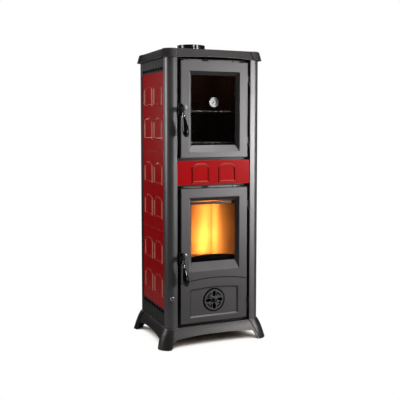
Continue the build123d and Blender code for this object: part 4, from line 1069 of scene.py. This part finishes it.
def floor_paper():
    """Pale paper: to the camera white with the stove's shade on it, and gone farther out."""
    made, tree, surface = new_material("floor_paper", Roughness=0.9, Specular_IOR_Level=0.0)
    tone_surface(tree, surface, noise(tree, scale=40.0), (0.36, 0.36, 0.36), (0.42, 0.42, 0.42))
    path = tree.nodes.new("ShaderNodeLightPath")
    openness = add_node(
        tree, "ShaderNodeAmbientOcclusion", samples=FLOOR_SAMPLES, Distance=FLOOR_SHADE_REACH)
    near = remap(tree, openness.outputs["AO"], (0.0, FLOOR_DARK_EDGE), (0.0, 1.0))
    near = combine(tree, "POWER", near, FLOOR_DARK_POWER)
    wide = remap(
        tree, openness.outputs["AO"], (0.0, FLOOR_PALE_EDGE), (1 - FLOOR_PALE_SHARE, 1.0))
    lit = combine(tree, "MULTIPLY", near, wide)
    white = tree.nodes.new("ShaderNodeEmission")
    tint = mix_colours(tree, lit, FLOOR_SHADE_TINT, (1.0, 1.0, 1.0))
    tree.links.new(tint, white.inputs["Color"])
    tree.links.new(lit, white.inputs["Strength"])
    shown = mix_shaders(
        tree, path.outputs["Is Camera Ray"], surface.outputs["BSDF"], white.outputs["Emission"])
    gone = remap(tree, vector_length(tree, object_place(tree)), FLOOR_FADE, (0.0, 1.0))
    clear = tree.nodes.new("ShaderNodeBsdfTransparent")
    shown = mix_shaders(tree, gone, shown, clear.outputs["BSDF"])
    tree.links.new(shown, tree.nodes["Material Output"].inputs["Surface"])
    return made


def pale_floor():
    """Large pale floor that keeps the shadow of the stove and fades into the white surround."""
    bpy.ops.mesh.primitive_plane_add(size=FLOOR_SIZE, location=(0, 0, -FLOOR_DROP))
    floor = bpy.context.active_object
    floor.name = "floor"
    floor.data.materials.append(floor_paper())


def soft_box(name, azimuth, height, distance, size, power, aim_height, beam):
    """Soft box around the stove, as the table of soft boxes describes it."""
    lamp = bpy.data.lights.new(name, "AREA")
    lamp.shape = "RECTANGLE"
    lamp.size, lamp.size_y = size
    lamp.energy = power
    lamp.spread = radians(beam)
    holder = bpy.data.objects.new(name, lamp)
    turn = radians(azimuth)
    holder.location = (distance * sin(turn), -distance * cos(turn), height)
    aim = Vector((0, 0, aim_height)) - holder.location
    holder.rotation_euler = aim.to_track_quat("-Z", "Y").to_euler()
    bpy.context.scene.collection.objects.link(holder)


def glow_lamp(name, place, radius, power, colour):
    """Small round lamp inside the stove."""
    lamp = bpy.data.lights.new(name, "POINT")
    lamp.shadow_soft_size = radius
    lamp.energy = power
    lamp.color = colour
    holder = bpy.data.objects.new(name, lamp)
    holder.location = place
    holder.visible_camera = False
    holder.visible_glossy = False
    holder.visible_transmission = False
    bpy.context.scene.collection.objects.link(holder)


def firebox_glow():
    """Column of warm lamps close to the rear board."""
    low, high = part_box("rear_brick")
    for step in range(GLOW_LAMPS):
        share = step / (GLOW_LAMPS - 1)
        span, across, power = (
            first + share * (last - first)
            for first, last in (GLOW_SPAN, GLOW_ACROSS, GLOW_POWER))
        rise = low[Z_AXIS] + span * (high[Z_AXIS] - low[Z_AXIS])
        place = (across, low[Y_AXIS] - GLOW_GAP, rise)
        glow_lamp("firebox_glow", place, GLOW_RADIUS, power, GLOW_COLOUR)


def oven_glow():
    """Faint warm lamp under the middle of the oven's top."""
    low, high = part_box("oven_box")
    place = middle_of(low, high)
    place[Z_AXIS] = high[Z_AXIS] - OVEN_GLOW_DROP
    glow_lamp("oven_glow", place, OVEN_GLOW_RADIUS, OVEN_GLOW_POWER, OVEN_GLOW_COLOUR)


def photo_camera():
    """Camera at the photograph's viewing angle."""
    data = bpy.data.cameras.new("camera")
    data.lens = CAMERA_LENS
    data.shift_y = CAMERA_SHIFT
    holder = bpy.data.objects.new("camera", data)
    holder.location = CAMERA_PLACE
    holder.rotation_euler = (radians(90 - CAMERA_DIP), 0, radians(-CAMERA_HEADING))
    bpy.context.scene.collection.objects.link(holder)
    bpy.context.scene.camera = holder


bpy.context.scene.view_settings.view_transform = "Standard"
white_surround()
pale_floor()
for settings in SOFT_BOXES:
    soft_box(*settings)
firebox_glow()
oven_glow()
photo_camera()
